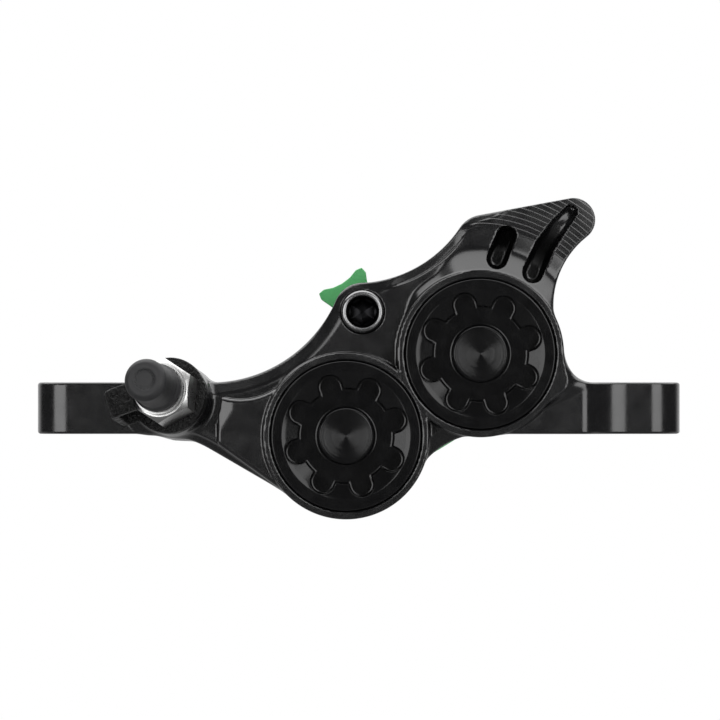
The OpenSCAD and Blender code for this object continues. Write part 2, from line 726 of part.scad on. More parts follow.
caliper_body();
bore_cap(lower);  // lower_bore_cap
bore_cap(upper);  // upper_bore_cap
cap_oring(lower);  // lower_cap_oring
cap_oring(upper);  // upper_cap_oring
piston(lower);  // outer_lower_piston
piston(upper);  // outer_upper_piston
inboard() piston(lower);  // inner_lower_piston
inboard() piston(upper);  // inner_upper_piston
piston_seal(lower);  // outer_lower_seal
piston_seal(upper);  // outer_upper_seal
inboard() piston_seal(lower);  // inner_lower_seal
inboard() piston_seal(upper);  // inner_upper_seal
backing_plate();  // outer_backing_plate
friction_block();  // outer_friction
inboard() backing_plate();  // inner_backing_plate
inboard() friction_block();  // inner_friction
pad_spring();
pad_pin();
pin_clip();
bleed_nipple();
dust_cap();
dust_cap_tether();
gallery_plugs();  // gallery_plug
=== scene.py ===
# %% [markdown]
# # A four-piston disc brake caliper
# The real object is one block of aluminium, milled and anodised black. Two round caps close its bores,
# a steel bleed nipple stands on its left arm, and a green pad shows behind the pad pin.
# The imported solids are the fixed frame: every piece made here sits where its solid sits, and most pieces
# move with it.

import json
import math

import bmesh
import bpy
import numpy as np
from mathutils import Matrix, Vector

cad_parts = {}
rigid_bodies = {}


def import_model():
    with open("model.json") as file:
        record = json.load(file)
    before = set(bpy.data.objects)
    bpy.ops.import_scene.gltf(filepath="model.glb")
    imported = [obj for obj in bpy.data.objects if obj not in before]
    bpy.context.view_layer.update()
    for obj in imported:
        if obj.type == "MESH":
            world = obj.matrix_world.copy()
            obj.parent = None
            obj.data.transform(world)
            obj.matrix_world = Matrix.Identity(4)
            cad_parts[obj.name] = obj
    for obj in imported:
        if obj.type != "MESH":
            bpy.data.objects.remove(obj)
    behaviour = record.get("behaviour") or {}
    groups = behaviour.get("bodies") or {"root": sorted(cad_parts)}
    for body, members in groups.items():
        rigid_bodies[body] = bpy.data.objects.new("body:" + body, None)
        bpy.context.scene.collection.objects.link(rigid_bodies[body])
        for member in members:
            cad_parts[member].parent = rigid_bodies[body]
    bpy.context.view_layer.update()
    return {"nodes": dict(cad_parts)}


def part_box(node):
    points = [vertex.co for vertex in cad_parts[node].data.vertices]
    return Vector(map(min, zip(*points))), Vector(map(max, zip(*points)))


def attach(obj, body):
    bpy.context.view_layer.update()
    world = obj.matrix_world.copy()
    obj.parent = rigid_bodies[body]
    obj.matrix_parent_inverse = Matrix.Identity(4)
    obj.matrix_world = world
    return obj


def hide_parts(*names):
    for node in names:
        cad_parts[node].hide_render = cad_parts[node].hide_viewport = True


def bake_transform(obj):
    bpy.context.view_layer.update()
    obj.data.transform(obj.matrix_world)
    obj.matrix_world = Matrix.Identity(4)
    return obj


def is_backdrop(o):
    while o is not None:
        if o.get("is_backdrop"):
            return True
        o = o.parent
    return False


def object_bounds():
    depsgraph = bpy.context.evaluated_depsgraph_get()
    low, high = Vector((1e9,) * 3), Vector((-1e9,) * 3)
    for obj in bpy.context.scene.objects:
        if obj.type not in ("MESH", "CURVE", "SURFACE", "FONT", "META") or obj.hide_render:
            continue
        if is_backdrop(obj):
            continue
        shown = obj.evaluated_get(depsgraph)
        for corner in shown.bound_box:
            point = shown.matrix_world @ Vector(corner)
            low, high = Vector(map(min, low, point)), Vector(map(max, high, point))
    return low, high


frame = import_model()
MM = 0.001

# %% [markdown]
# Places are read from the solids, in millimetres, so a piece follows its solid when the source changes.
# The bores lie on a sloping line, and much of the body is laid out along that line (u) and across it (v).

# %% Places read from the solids
def box_mm(node):
    low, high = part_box(node)
    return np.array(low) / MM, np.array(high) / MM


def middle(node):
    low, high = box_mm(node)
    return (low + high) / 2


lower = middle("lower_bore_cap")[[0, 2]]
upper = middle("upper_bore_cap")[[0, 2]]
pin = middle("pad_pin")[[0, 2]]
mid = (lower + upper) / 2
bore_angle = math.atan2(*(upper - lower)[::-1])
along = np.array([math.cos(bore_angle), math.sin(bore_angle)])
across = np.array([-along[1], along[0]])


def at(u, v):
    """The place that lies u along the bore line and v across it."""
    return mid + u * along + v * across


print("bore line slopes by", round(math.degrees(bore_angle), 1), "degrees")

# %% Depths across the wheel
flange_thickness, cap_proud, piston_out = 3.3, 0.4, 0.5
arm_step, front_step = 0.8, 3.1
back_boss_step, blind_wall = 3.6, 3.4
cap_face = box_mm("lower_bore_cap")[0][1]
flange_under = cap_face + flange_thickness
skirt_end = box_mm("lower_bore_cap")[1][1]
boss_face = cap_face + cap_proud
arm_face = boss_face + arm_step
front_y = boss_face + front_step
cavity_y = box_mm("outer_backing_plate")[0][1] - piston_out
rotor_y = middle("pad_spring")[1]
inner_wall = 2 * rotor_y - cavity_y
back_face = box_mm("caliper_body")[1][1]
back_y = back_face - back_boss_step
blind_floor = back_face - blind_wall
print("front face at", round(front_y, 2), "mm, rotor at", round(rotor_y, 2), "mm")

# %% [markdown]
# The body could be modelled by hand with bevels, but its look comes from blends: coves around the bosses,
# a turned tail, soft edges on every cut. A distance field gives all of these with exact radii. A field says
# how far a point lies outside the body, and two fields join or cut with a chosen edge radius.

# %% Joining and cutting fields
def meet(a, b, r):
    """Inside both a and b, with an edge of radius r."""
    corner = np.sqrt(np.maximum(a + r, 0) ** 2 + np.maximum(b + r, 0) ** 2)
    return np.minimum(np.maximum(a, b), -r) + corner


def join(a, b, r):
    """Inside a or b, with a cove of radius r between them."""
    return -meet(-a, -b, r)


def cut(a, b, r):
    """Inside a but not b, with an edge of radius r."""
    return meet(a, -b, r)


def bevelled(a, b, width, r):
    """Inside both a and b, with a flat bevel between them whose own edges have radius r."""
    slope = (a + b + width) / math.sqrt(2)
    return meet(meet(a, slope, r), b, r)


def ease(low, high, value):
    """0 below low, 1 above high, and smooth between."""
    t = np.clip((value - low) / (high - low), 0, 1)
    return t * t * (3 - 2 * t)


corner = np.array(0.0)
print("a cove of 2 mm fills a square corner by", round(-float(join(corner, corner, 2)), 2), "mm")

# %% [markdown]
# The outline of the body is drawn as a draughtsman would: a belt around discs, where a negative radius is a
# hollow curve. Every piece of the belt is an arc or a straight line, so the distance to it is exact.

# %% Outlines as belts around discs
def belt_angle(a, b):
    """Direction of the belt's outward normal on its way from disc a to disc b."""
    step = np.subtract(b[0], a[0])
    lean = np.clip((a[1] - b[1]) / np.hypot(*step), -1, 1)
    return math.atan2(step[1], step[0]) - math.acos(lean)


def hollow(a, b, r):
    """The hollow disc of radius r that touches discs a and b, on the right of the way from a to b."""
    step = np.subtract(b[0], a[0])
    gap = np.hypot(*step)
    ra, rb = a[1] + r, b[1] + r
    run = (ra * ra - rb * rb + gap * gap) / (2 * gap)
    way = step / gap
    side = math.sqrt(ra * ra - run * run)
    return a[0] + run * way + side * np.array([way[1], -way[0]]), -r


class Outline:
    """A closed outline in the XZ plane, with its signed distance."""

    def __init__(self, discs):
        count = len(discs)
        turns = [belt_angle(discs[k - 1], discs[k]) for k in range(count)]
        self.arcs, self.lines = [], []
        for k, (centre, r) in enumerate(discs):
            after = turns[(k + 1) % count]
            turn = (after - turns[k]) % math.tau if r > 0 else (turns[k] - after) % math.tau
            self.arcs.append((centre, r, turns[k], turn))
            normal = np.array([math.cos(after), math.sin(after)])
            next_centre, next_r = discs[(k + 1) % count]
            self.lines.append((centre + r * normal, next_centre + next_r * normal, normal))

    def distance(self, x, z):
        best = np.full(x.shape, 1e3)
        for centre, r, start, turn in self.arcs:
            dx, dz = x - centre[0], z - centre[1]
            way = 1 if r > 0 else -1
            signed = way * np.sqrt(dx * dx + dz * dz) - r
            angle = np.arctan2(way * dz, way * dx)
            on_arc = (way * (angle - start) + 1e-6) % math.tau <= turn + 2e-6
            best = np.where(on_arc & (np.abs(signed) < np.abs(best)), signed, best)
        for begin, end, normal in self.lines:
            step = end - begin
            length = np.hypot(*step)
            if length < 1e-6:
                continue
            dx, dz = x - begin[0], z - begin[1]
            run = (dx * step[0] + dz * step[1]) / length
            signed = dx * normal[0] + dz * normal[1]
            on_line = (run >= -1e-6) & (run <= length + 1e-6)
            best = np.where(on_line & (np.abs(signed) < np.abs(best)), signed, best)
        return best


two_discs = Outline([(np.array([0.0, 0.0]), 2.0), (np.array([5.0, 0.0]), 2.0)])
halfway = two_discs.distance(np.array([2.5]), np.array([1.0]))
print("between two discs of 2 mm, 1 mm off their line, the distance is", float(halfway[0]), "mm")

# %% [markdown]
# The body has two outlines, one on each side of the rotor. Between the bores and along the tail they hollow
# in. A third outline belongs to the arm that stands up from the front and leads to the nipple.

# %% The outboard outline
post_spacing = 74.2
left_post = -post_spacing / 2
ear_reach = 7.25
ear_thickness = 7.1
ear_mid = ear_thickness / 2
ear_half = 7.2
ear_end = post_spacing / 2 + ear_reach
boss_r = 11.5
core_r = boss_r - 0.5
arm_x = left_post + 8.8
under_r = 15.6
lower_disc, upper_disc = (lower, core_r), (upper, core_r)
tip_disc, shoulder_disc, pin_disc = (at(31.5, 9.1), 3.0), (at(19.2, 12.7), 4.0), (pin, 4.0)
web_r, tail_hollow_r, shoulder_hollow_r, arm_hollow_r = 11.2, 12.2, 17.3, 19


def arm_curve(disc, r):
    """The hollow curve that runs from the pin's boss into the top of the left ear."""
    z = ear_thickness + r
    return np.array([disc[0][0] - math.sqrt((disc[1] + r) ** 2 - (z - disc[0][1]) ** 2), z]), -r


outboard = Outline([
    (np.array([arm_x, ear_mid]), ear_mid),
    (np.array([arm_x, -under_r]), -under_r),
    lower_disc,
    hollow(lower_disc, upper_disc, web_r),
    upper_disc,
    hollow(upper_disc, tip_disc, tail_hollow_r),
    tip_disc,
    shoulder_disc,
    hollow(shoulder_disc, pin_disc, shoulder_hollow_r),
    pin_disc,
    arm_curve(pin_disc, arm_hollow_r),
])
print("outboard outline:", len(outboard.arcs), "arcs")

# %% The inboard outline
nipple_boss_r = 5.2
nipple_base = np.array([left_post + 11.1, front_y - 1.1, nipple_boss_r])
lean_out, lean_up = math.radians(14.6), math.radians(10)
nipple_axis = np.array(
    [-math.sin(lean_out) * math.cos(lean_up), -math.cos(lean_out) * math.cos(lean_up), math.sin(lean_up)]
)
crossover_depth = 9.6
crossover = (nipple_base - crossover_depth * nipple_axis)[[0, 2]]
inboard_boss_r = boss_r - 0.4
inboard_core_r = inboard_boss_r - 0.5
in_lower, in_upper = (lower, inboard_core_r), (upper, inboard_core_r)
in_tip, in_shoulder = (at(26.5, 10.2), 3.2), (at(18.9, 12.2), 4.0)
in_pin, in_arm = (pin, 3.7), (crossover, ear_mid - 0.3)
in_web_r, in_tail_r, in_shoulder_r, in_arm_r = 11.6, 10, 17.8, 18.5
inboard = Outline([
    in_arm,
    in_lower,
    hollow(in_lower, in_upper, in_web_r),
    in_upper,
    hollow(in_upper, in_tip, in_tail_r),
    in_tip,
    in_shoulder,
    hollow(in_shoulder, in_pin, in_shoulder_r),
    in_pin,
    hollow(in_pin, in_arm, in_arm_r),
])
print("inboard outline:", len(inboard.arcs), "arcs")

# %% The raised arm's outline
start_inset, finish_inset, under_inset = 0.25, 1.3, 1.1
nook_r = 9
arm_start = (lower, boss_r - start_inset)
arm_finish = (nipple_base[[0, 2]], nipple_boss_r - finish_inset)
raised_arm = Outline([
    arm_finish,
    (np.array([arm_x, -under_r]), -under_r - under_inset),
    arm_start,
    hollow(arm_start, arm_finish, nook_r),
])
print("raised arm:", len(raised_arm.arcs), "arcs")

# %% [markdown]
# The front of the tail was milled in circles around the upper bore. Next to the boss the cutter left a steep
# smooth cone that runs out into the face, and further out the face falls away towards the tip. The rest of
# the front is flat, with a shallow bevel along the outline that fades on the tail. On the hollow edge left of
# the tail a narrow ledge takes the bevel's place. Each of these forms holds over a sector around the bore,
# given by four directions: where it starts, where it is whole, where that ends, and where it is gone.

# %% The front face and its tail
cone_height, cone_fall, cone_foot = 2.9, 0.92, 0.7
low_cone_share = 0.3
low_cone_sector, cone_sector = (-70, -45, 60, 95), (-32, -8, 60, 95)
fall_start = boss_r + 3.7
fall_r = 14.3
tail_rise, tail_from_x = (9.0, 13.0), (12.5, 15.0)
tail_sector = (5, 25, 65, 85)
edge_bevel, edge_tilt, edge_r = 1.7, math.radians(32), 0.2
cone_held = 0.95
ledge_width, ledge_depth = 1.0, 0.45
ledge_sector = (-62, -42, -14, -2)


def sector(turn, start, whole_from, whole_to, end):
    """1 where a sector is whole, fading to 0 at its start and end."""
    return ease(start, whole_from, turn) * ease(-end, -whole_to, -turn)


def around_upper(x, z):
    """Distance from the upper bore's axis, and direction in degrees to the right of straight up."""
    dx, dz = x - upper[0], z - upper[1]
    return np.sqrt(dx * dx + dz * dz), np.degrees(np.arctan2(dx, dz))


def cone_lift(radius, share):
    """Height of the cone beside the boss, with a hollow foot where it meets the face."""
    line = cone_height * share - cone_fall * np.maximum(radius - boss_r, 0)
    return (line + np.sqrt(line * line + (cone_foot * share) ** 2)) / 2


def tail_level(radius):
    """Depth of the tail below the front face."""
    run = np.maximum(radius - fall_start, 0)
    return run * run / (2 * fall_r)


def front_plate(x, y, z, out):
    """The outboard half of the body, without its bosses. Out is the distance to its outline."""
    radius, turn = around_upper(x, z)
    low_cone, full_cone = sector(turn, *low_cone_sector), sector(turn, *cone_sector)
    beside_boss = low_cone_share * low_cone + (1 - low_cone_share) * full_cone
    on_tail = ease(*tail_rise, z - upper[1]) * ease(*tail_from_x, x)
    on_ledge = sector(turn, *ledge_sector)
    level = front_y - cone_lift(radius, beside_boss) + on_tail * tail_level(radius)
    level = level + ledge_depth * on_ledge * ease(-ledge_width - ledge_depth, -ledge_width, out)
    bevel = edge_bevel * (1 - sector(turn, *tail_sector)) * (1 - on_ledge)
    past_bevel = np.maximum(out + bevel, 0)
    bevel_top = front_y - cone_lift(radius - cone_held * past_bevel, beside_boss)
    slope = (out + bevel) * math.sin(edge_tilt) + (bevel_top - y) * math.cos(edge_tilt)
    edge = meet(meet(out, slope, edge_r), level - y, edge_r)
    return np.maximum(edge, y - ear_half)


tip_run = np.hypot(*(tip_disc[0] - upper))
print("the tip of the tail lies", round(float(tail_level(tip_run)), 1), "mm below the front")

# %% The inboard half
back_bevel, back_edge_r = 1.6, 0.5
overlap = 2


def back_plate(y, inner):
    """The inboard half of the body, without its bosses. Inner is the distance to its outline."""
    return np.maximum(bevelled(inner, y - back_y, back_bevel, back_edge_r), ear_half - overlap - y)


print("the halves overlap by", overlap, "mm")

# %% [markdown]
# The body is bolted down by two ears. Each has a slot, so that the bolts can be set across the wheel. The
# right ear has a neck that runs into the body with a wide cove. Round bosses carry the caps, and the raised
# arm slopes down to the nipple.

# %% The ears
ear_corner, ear_edge_r = 4.2, 0.35
slot_r, slot_run = 3.2, 1.5
neck_x, neck_y = post_spacing / 2 - 5.8, front_y - 1.5
neck_end, neck_edge_r, neck_cove = 2, 0.6, 5.9
right_root, left_root = upper[0] + 2, arm_x + 6


def ear_plan(x, y):
    """Distance to an ear's plan, for the right ear; the left one is its mirror image."""
    return meet(x - ear_end, np.abs(y) - ear_half, ear_corner)


def ear_slot(x, y):
    dy = np.maximum(np.abs(y) - slot_run, 0)
    return np.sqrt((np.abs(x) - post_spacing / 2) ** 2 + dy * dy) - slot_r


def ear(plan, z):
    return meet(plan, np.abs(z - ear_mid) - ear_mid, ear_edge_r)


def right_ear(x, y, z):
    neck = np.maximum(meet(x - neck_x, neck_y - y, neck_edge_r), y - neck_end)
    plan = join(np.maximum(ear_plan(x, y), right_root - x), np.maximum(neck, right_root - x), neck_cove)
    return ear(plan, z)


def left_ear(x, y, z):
    return ear(np.maximum(ear_plan(-x, y), x - left_root), z)


print("ears end at", round(ear_end, 2), "mm, slots at", post_spacing / 2, "mm")

# %% Bosses and the raised arm
# A bevel is given by its width and the radius of its own edges.
boss_bevel, back_boss_bevel = (0.18, 0.08), (1.0, 0.4)
nipple_boss_bevel, arm_bevel = (0.5, 0.15), (0.35, 0.15)
ramp_x, ramp_slope, ramp_lean, ramp_foot = -17.4, 0.17, 0.6, 3.4
ramp_edge, spanner_edge = 0.05, 0.25
spanner_r, spanner_past = 7.0, 2
nipple_boss_depth = 6


def from_axis(x, z, place):
    """Distance from an axis that runs across the wheel."""
    return np.sqrt((x - place[0]) ** 2 + (z - place[1]) ** 2)


def boss(x, y, z, place):
    wall = from_axis(x, z, place) - boss_r
    return np.maximum(bevelled(wall, boss_face - y, *boss_bevel), y - cavity_y)


def back_boss(x, y, z, place):
    wall = from_axis(x, z, place) - inboard_boss_r
    return np.maximum(bevelled(wall, y - back_face, *back_boss_bevel), inner_wall - y)


def nipple_place(x, y, z):
    """Distance from the nipple's axis, and height along it above its seat on the body."""
    dx, dy, dz = x - nipple_base[0], y - nipple_base[1], z - nipple_base[2]
    height = dx * nipple_axis[0] + dy * nipple_axis[1] + dz * nipple_axis[2]
    return np.sqrt(np.maximum(dx * dx + dy * dy + dz * dz - height * height, 0)), height


def nipple_boss(radius, height):
    post = bevelled(radius - nipple_boss_r, height, *nipple_boss_bevel)
    return np.maximum(post, -height - nipple_boss_depth)


def arm(x, y, z, radius):
    """The raised arm, with a ramp down to the nipple and room for a spanner around it."""
    ramp = arm_face - y + ramp_slope * (ramp_x - ramp_lean * np.maximum(ramp_foot - z, 0) - x)
    top = meet(arm_face - y, ramp, ramp_edge)
    solid = bevelled(raised_arm.distance(x, z), top, *arm_bevel)
    spanner_room = np.maximum(np.minimum(radius - spanner_r, x - ramp_x + spanner_past), y - front_y)
    return np.maximum(cut(solid, spanner_room, spanner_edge), y - front_y - overlap)


print("raised arm stands", round(front_y - arm_face, 2), "mm above the front face")

# %% [markdown]
# What a cutter or a drill took away is a field of its own: two grooves in the tail, the room for the pads and
# the rotor, the bores with their seal grooves, and the drilled holes.

# %% Grooves in the tail
first_groove = [(at(19.65, 10), 1.42), (at(22.4, 12), 1.35)]
second_groove = [(at(22.85, 5.8), 1.42), (at(26.1, 8), 1.32), (at(29.3, 9.4), 1.17), (at(31.7, 10.2), 0.9)]
groove_depths = (6.2, 1.8)
groove_run = (14.0, 23.0)
groove_bottom_r = 0.8


def groove(x, y, z, stops):
    """A round-bottomed groove that follows the falling face and gets shallower towards the tip."""
    plan = np.full(x.shape, 1e3)
    for (p, rp), (q, rq) in zip(stops, stops[1:]):
        step = q - p
        share = np.clip(((x - p[0]) * step[0] + (z - p[1]) * step[1]) / (step @ step), 0, 1)
        gap = np.sqrt((x - p[0] - share * step[0]) ** 2 + (z - p[1] - share * step[1]) ** 2)
        plan = np.minimum(plan, gap - rp - share * (rq - rp))
    radius = around_upper(x, z)[0]
    deep, shallow = groove_depths
    floor = front_y + tail_level(radius) + deep + (shallow - deep) * ease(*groove_run, radius)
    return meet(plan, y - floor, groove_bottom_r)


print("grooves are", groove_depths, "mm deep, from the boss to the tip")

# %% Room for the pads and the pistons
pad_half, pad_low, pad_corner = 19.4, -8.8, 6.2
rotor_drop, rotor_r, rotor_half = 93.5, 103.3, 1.7
cap_seat_r, seat_edge_r = 10.38, 0.4
cap_thread_r, thread_relief = 9.4, 0.65
bore_r = 8
seal_groove_r, seal_back, seal_half = 9.6, 2.55, 1


def pad_room(x, y, z):
    """The pads' cavity, and the slot that the rotor runs in."""
    u = (x - mid[0]) * along[0] + (z - mid[1]) * along[1]
    v = (x - mid[0]) * across[0] + (z - mid[1]) * across[1]
    off_rotor = np.abs(y - rotor_y)
    plan = meet(np.abs(u) - pad_half, pad_low - v, pad_corner)
    cavity = np.maximum(plan, off_rotor - (rotor_y - cavity_y))
    rotor = np.maximum(np.sqrt(u * u + (v + rotor_drop) ** 2) - rotor_r, off_rotor - rotor_half)
    return np.minimum(cavity, rotor)


def bore(x, y, z, place):
    """An outboard bore and the blind one facing it, with seal grooves and the seat of the cap."""
    c = from_axis(x, z, place)
    seat = np.maximum(-meet(cap_seat_r - c, boss_face - y, seat_edge_r), y - flange_under)
    thread_end = skirt_end + thread_relief - flange_under
    thread = np.maximum(c - cap_thread_r, np.abs(y - flange_under) - thread_end)
    run = np.maximum(c - bore_r, np.maximum(flange_under - y, y - blind_floor))
    seal = np.maximum(c - seal_groove_r, np.abs(np.abs(y - rotor_y) - rotor_y + seal_back) - seal_half)
    return np.minimum(np.minimum(seat, thread), np.minimum(run, seal))


print("bores of", 2 * bore_r, "mm, seal grooves of", 2 * seal_groove_r, "mm")

# %% Drilled holes
pin_head_room_r, pin_hole_r, pin_head_depth = 3.0, 2.15, 6.9
nipple_hole_r, nipple_hole_depth = 3, 9
port = np.array([in_shoulder[0][0] + 2.41, rotor_y + 10.4, shoulder_disc[0][1] + 1.7])
port_seat_r, port_r, port_depth, port_edge_r = 4.6, 3.45, 7, 0.25
plug_r, plug_depth = 1.42, 2.4


def drilled(x, y, z, radius, height):
    """The holes of the pin, the nipple, the hose port with its seat, and the plug."""
    c = from_axis(x, z, pin)
    pin_room = np.minimum(np.maximum(c - pin_head_room_r, y - front_y - pin_head_depth), c - pin_hole_r)
    nipple_room = np.maximum(radius - nipple_hole_r, -height - nipple_hole_depth)
    c = np.sqrt((x - port[0]) ** 2 + (y - port[1]) ** 2)
    seat_room = np.maximum(c - port_seat_r, port[2] - z)
    port_room = join(seat_room, np.maximum(c - port_r, port[2] - port_depth - z), port_edge_r)
    plug_room = np.maximum(from_axis(x, z, crossover) - plug_r, back_y - plug_depth - y)
    return np.minimum(np.minimum(pin_room, nipple_room), np.minimum(port_room, plug_room))


print("hose port at", np.round(port, 1), "mm")

# %% [markdown]
# Everything that stands is joined first, and everything that is open is cut afterwards. Each joint has a cove
# of its own and each cut an edge radius of its own, in millimetres. The cove of the right ear is wide only
# along the ear's top.

# %% The whole body as one field
half_cove, left_ear_cove, nipple_cove = 0.5, 0.8, 0.7
boss_cove, raised_cove, back_boss_cove = 0.25, 0.3, 1.2
right_ear_cove, top_cove, top_from = 0.3, 4.5, (3.0, 6.5)
groove_edge, room_edge, slot_edge, hole_edge, bore_edge = 0.2, 0.3, 0.4, 0.2, 0.12


def body_field(x, y, z):
    radius, height = nipple_place(x, y, z)
    front = front_plate(x, y, z, outboard.distance(x, z))
    solid = join(front, back_plate(y, inboard.distance(x, z)), half_cove)
    raised = arm(x, y, z, radius)
    for place in (lower, upper):
        raised = join(raised, boss(x, y, z, place), boss_cove)
        solid = join(solid, back_boss(x, y, z, place), back_boss_cove)
    solid = join(solid, raised, raised_cove)
    solid = join(solid, left_ear(x, y, z), left_ear_cove)
    solid = join(solid, right_ear(x, y, z), right_ear_cove + top_cove * ease(*top_from, z))
    solid = join(solid, nipple_boss(radius, height), nipple_cove)
    for stops in (first_groove, second_groove):
        solid = cut(solid, groove(x, y, z, stops), groove_edge)
    solid = cut(solid, pad_room(x, y, z), room_edge)
    solid = cut(solid, ear_slot(x, y), slot_edge)
    solid = cut(solid, drilled(x, y, z, radius, height), hole_edge)
    for place in (lower, upper):
        solid = cut(solid, bore(x, y, z, place), bore_edge)
    return solid


probe = np.array([[mid[0]], [front_y + 5], [mid[1]]])
print("distance at the web between the bores:", round(float(body_field(*probe)[0]), 2), "mm")

# %% [markdown]
# A grid of samples turns the field into a mesh. Each cell that the surface crosses gets one point, which is
# then pulled onto the surface along the field's slope, and four cells around a crossed edge make one face.
# Only cells near the surface are sampled. Flat parts are merged afterwards, so the faces go to the curves.

# %% Sampling the field
CORNERS = [(i, j, k) for i in (0, 1) for j in (0, 1) for k in (0, 1)]
EDGES = [(a, b) for a in range(8) for b in range(a + 1, 8) if bin(a ^ b).count("1") == 1]
TETRA = np.array([[1, 1, 1], [1, -1, -1], [-1, 1, -1], [-1, -1, 1]])
BATCH = 150_000
COARSE = 4
PULLS = 3


def shifted(grid, corner):
    return grid[tuple(slice(c, n - 1 + c) for c, n in zip(corner, grid.shape))]


def sample(field, points):
    parts = [field(*points[k : k + BATCH].T) for k in range(0, len(points), BATCH)]
    return np.concatenate(parts)


def slope_at(field, points, step=0.02):
    """Value and slope of the field, from four samples around each point."""
    values = [sample(field, points + step * t) for t in TETRA]
    slope = sum(np.outer(v, t) for v, t in zip(values, TETRA)) / (4 * step)
    return sum(values) / 4, slope


def finer(grid):
    """Repeats each value of a coarse grid along all three axes."""
    for axis in range(3):
        grid = grid.repeat(COARSE, axis)
    return grid


def sampled_grid(field, low, cell, counts):
    """Field values on the grid. Far from the surface only their sign is right."""
    axes = [low[k] + cell * np.arange(counts[k]) for k in range(3)]
    rough = np.stack(np.meshgrid(*[a[::COARSE] for a in axes], indexing="ij"), -1)
    rough_values = sample(field, rough.reshape(-1, 3)).reshape(rough.shape[:3])
    near = np.abs(rough_values) < (COARSE + 1) * cell
    block = np.any([shifted(near, c) for c in CORNERS], axis=0)
    wide = finer(block)
    wanted = np.zeros(counts, bool)
    for corner in CORNERS:
        shifted(wanted, corner)[...] |= wide
    values = finer(rough_values)[: counts[0], : counts[1], : counts[2]].copy()
    spots = np.argwhere(wanted)
    values[wanted] = sample(field, low + cell * spots)
    return values


print("a cell has", len(CORNERS), "corners and", len(EDGES), "edges")

# %% Turning samples into a mesh
def surface_points(field, values, low, cell):
    """One point in each crossed cell, on the surface, and the number of each cell's point."""
    inside = values < 0
    count = sum(shifted(inside, c).astype(np.uint8) for c in CORNERS)
    cells = np.argwhere((count > 0) & (count < 8))
    number = np.full(count.shape, -1, np.int32)
    number[tuple(cells.T)] = np.arange(len(cells))
    corner_values = [values[tuple((cells + c).T)] for c in CORNERS]
    total, hits = np.zeros((len(cells), 3)), np.zeros(len(cells))
    for a, b in EDGES:
        va, vb = corner_values[a], corner_values[b]
        crossed = (va < 0) != (vb < 0)
        share = np.where(crossed, va / np.where(crossed, va - vb, 1), 0)
        spot = np.array(CORNERS[a]) + share[:, None] * np.subtract(CORNERS[b], CORNERS[a])
        total += np.where(crossed[:, None], spot, 0)
        hits += crossed
    points = low + cell * (cells + total / hits[:, None])
    for _ in range(PULLS):
        value, slope = slope_at(field, points)
        pull = np.clip(value / np.maximum((slope**2).sum(1), 0.2), -cell / 2, cell / 2)
        points -= pull[:, None] * slope
    return points, number, inside


def surface_faces(number, inside):
    """Four-sided faces around each crossed grid edge, wound outwards."""
    faces = []
    for a in range(3):
        b, c = (a + 1) % 3, (a + 2) % 3
        step = np.eye(3, dtype=int)
        first = np.moveaxis(inside, a, 0)[:-1]
        second = np.moveaxis(inside, a, 0)[1:]
        starts = np.argwhere(np.moveaxis(first != second, 0, a))
        edge = (starts[:, b] > 0) & (starts[:, c] > 0)
        edge &= (starts[:, b] < number.shape[b]) & (starts[:, c] < number.shape[c])
        starts = starts[edge]
        ring = [starts - step[b] - step[c], starts - step[c], starts, starts - step[b]]
        quad = np.stack([number[tuple(r.T)] for r in ring], 1)
        outward = inside[tuple(starts.T)]
        faces.append(np.where(outward[:, None], quad, quad[:, ::-1]))
    return np.concatenate(faces)


def mesh_from(name, points, faces):
    mesh = bpy.data.meshes.new(name)
    mesh.vertices.add(len(points))
    mesh.vertices.foreach_set("co", (points * MM).astype(np.float32).ravel())
    mesh.loops.add(faces.size)
    mesh.loops.foreach_set("vertex_index", faces.astype(np.int32).ravel())
    mesh.polygons.add(len(faces))
    mesh.polygons.foreach_set("loop_start", np.arange(0, faces.size, faces.shape[1], dtype=np.int32))
    mesh.update(calc_edges=True)
    mesh.validate()
    return mesh


print("points, faces and meshes can be made")

# %% Building the body
flat_deg = 0.3


def polygonise(name, field, low, high, cell):
    counts = np.ceil((high - low) / cell / COARSE).astype(int) * COARSE + 1
    values = sampled_grid(field, low, cell, counts)
    points, number, inside = surface_points(field, values, low, cell)
    mesh = mesh_from(name, points, surface_faces(number, inside))
    made = bmesh.new()
    made.from_mesh(mesh)
    bmesh.ops.dissolve_limit(made, angle_limit=math.radians(flat_deg), verts=made.verts, edges=made.edges)
    bmesh.ops.triangulate(made, faces=made.faces)
    made.to_mesh(mesh)
    made.free()
    return mesh


def shade_by_field(mesh, field):
    """Gives each point the field's own normal, so that merged flat faces stay flat up to their edges."""
    co = np.zeros(3 * len(mesh.vertices), np.float32)
    mesh.vertices.foreach_get("co", co)
    slope = slope_at(field, co.reshape(-1, 3) / MM)[1]
    slope /= np.maximum(np.linalg.norm(slope, axis=1), 1e-9)[:, None]
    mesh.polygons.foreach_set("use_smooth", np.ones(len(mesh.polygons), bool))
    mesh.normals_split_custom_set_from_vertices(slope.tolist())


def piece(name, mesh):
    made = bpy.data.objects.new(name, mesh)
    bpy.context.scene.collection.objects.link(made)
    return made


cell = 0.26
body_low, body_high = box_mm("caliper_body")
margin_low, margin_high = 1.03, 1.01
body_mesh = polygonise("body", body_field, body_low - margin_low, body_high + margin_high, cell)
shade_by_field(body_mesh, body_field)
body = piece("body", body_mesh)
print("body:", len(body_mesh.vertices), "points,", len(body_mesh.polygons), "triangles")

# %% [markdown]
# A tree of nodes is quicker to read when each node is one line. This helper adds a node, gives its inputs
# a value or a link, and is used for shapes and finishes alike.

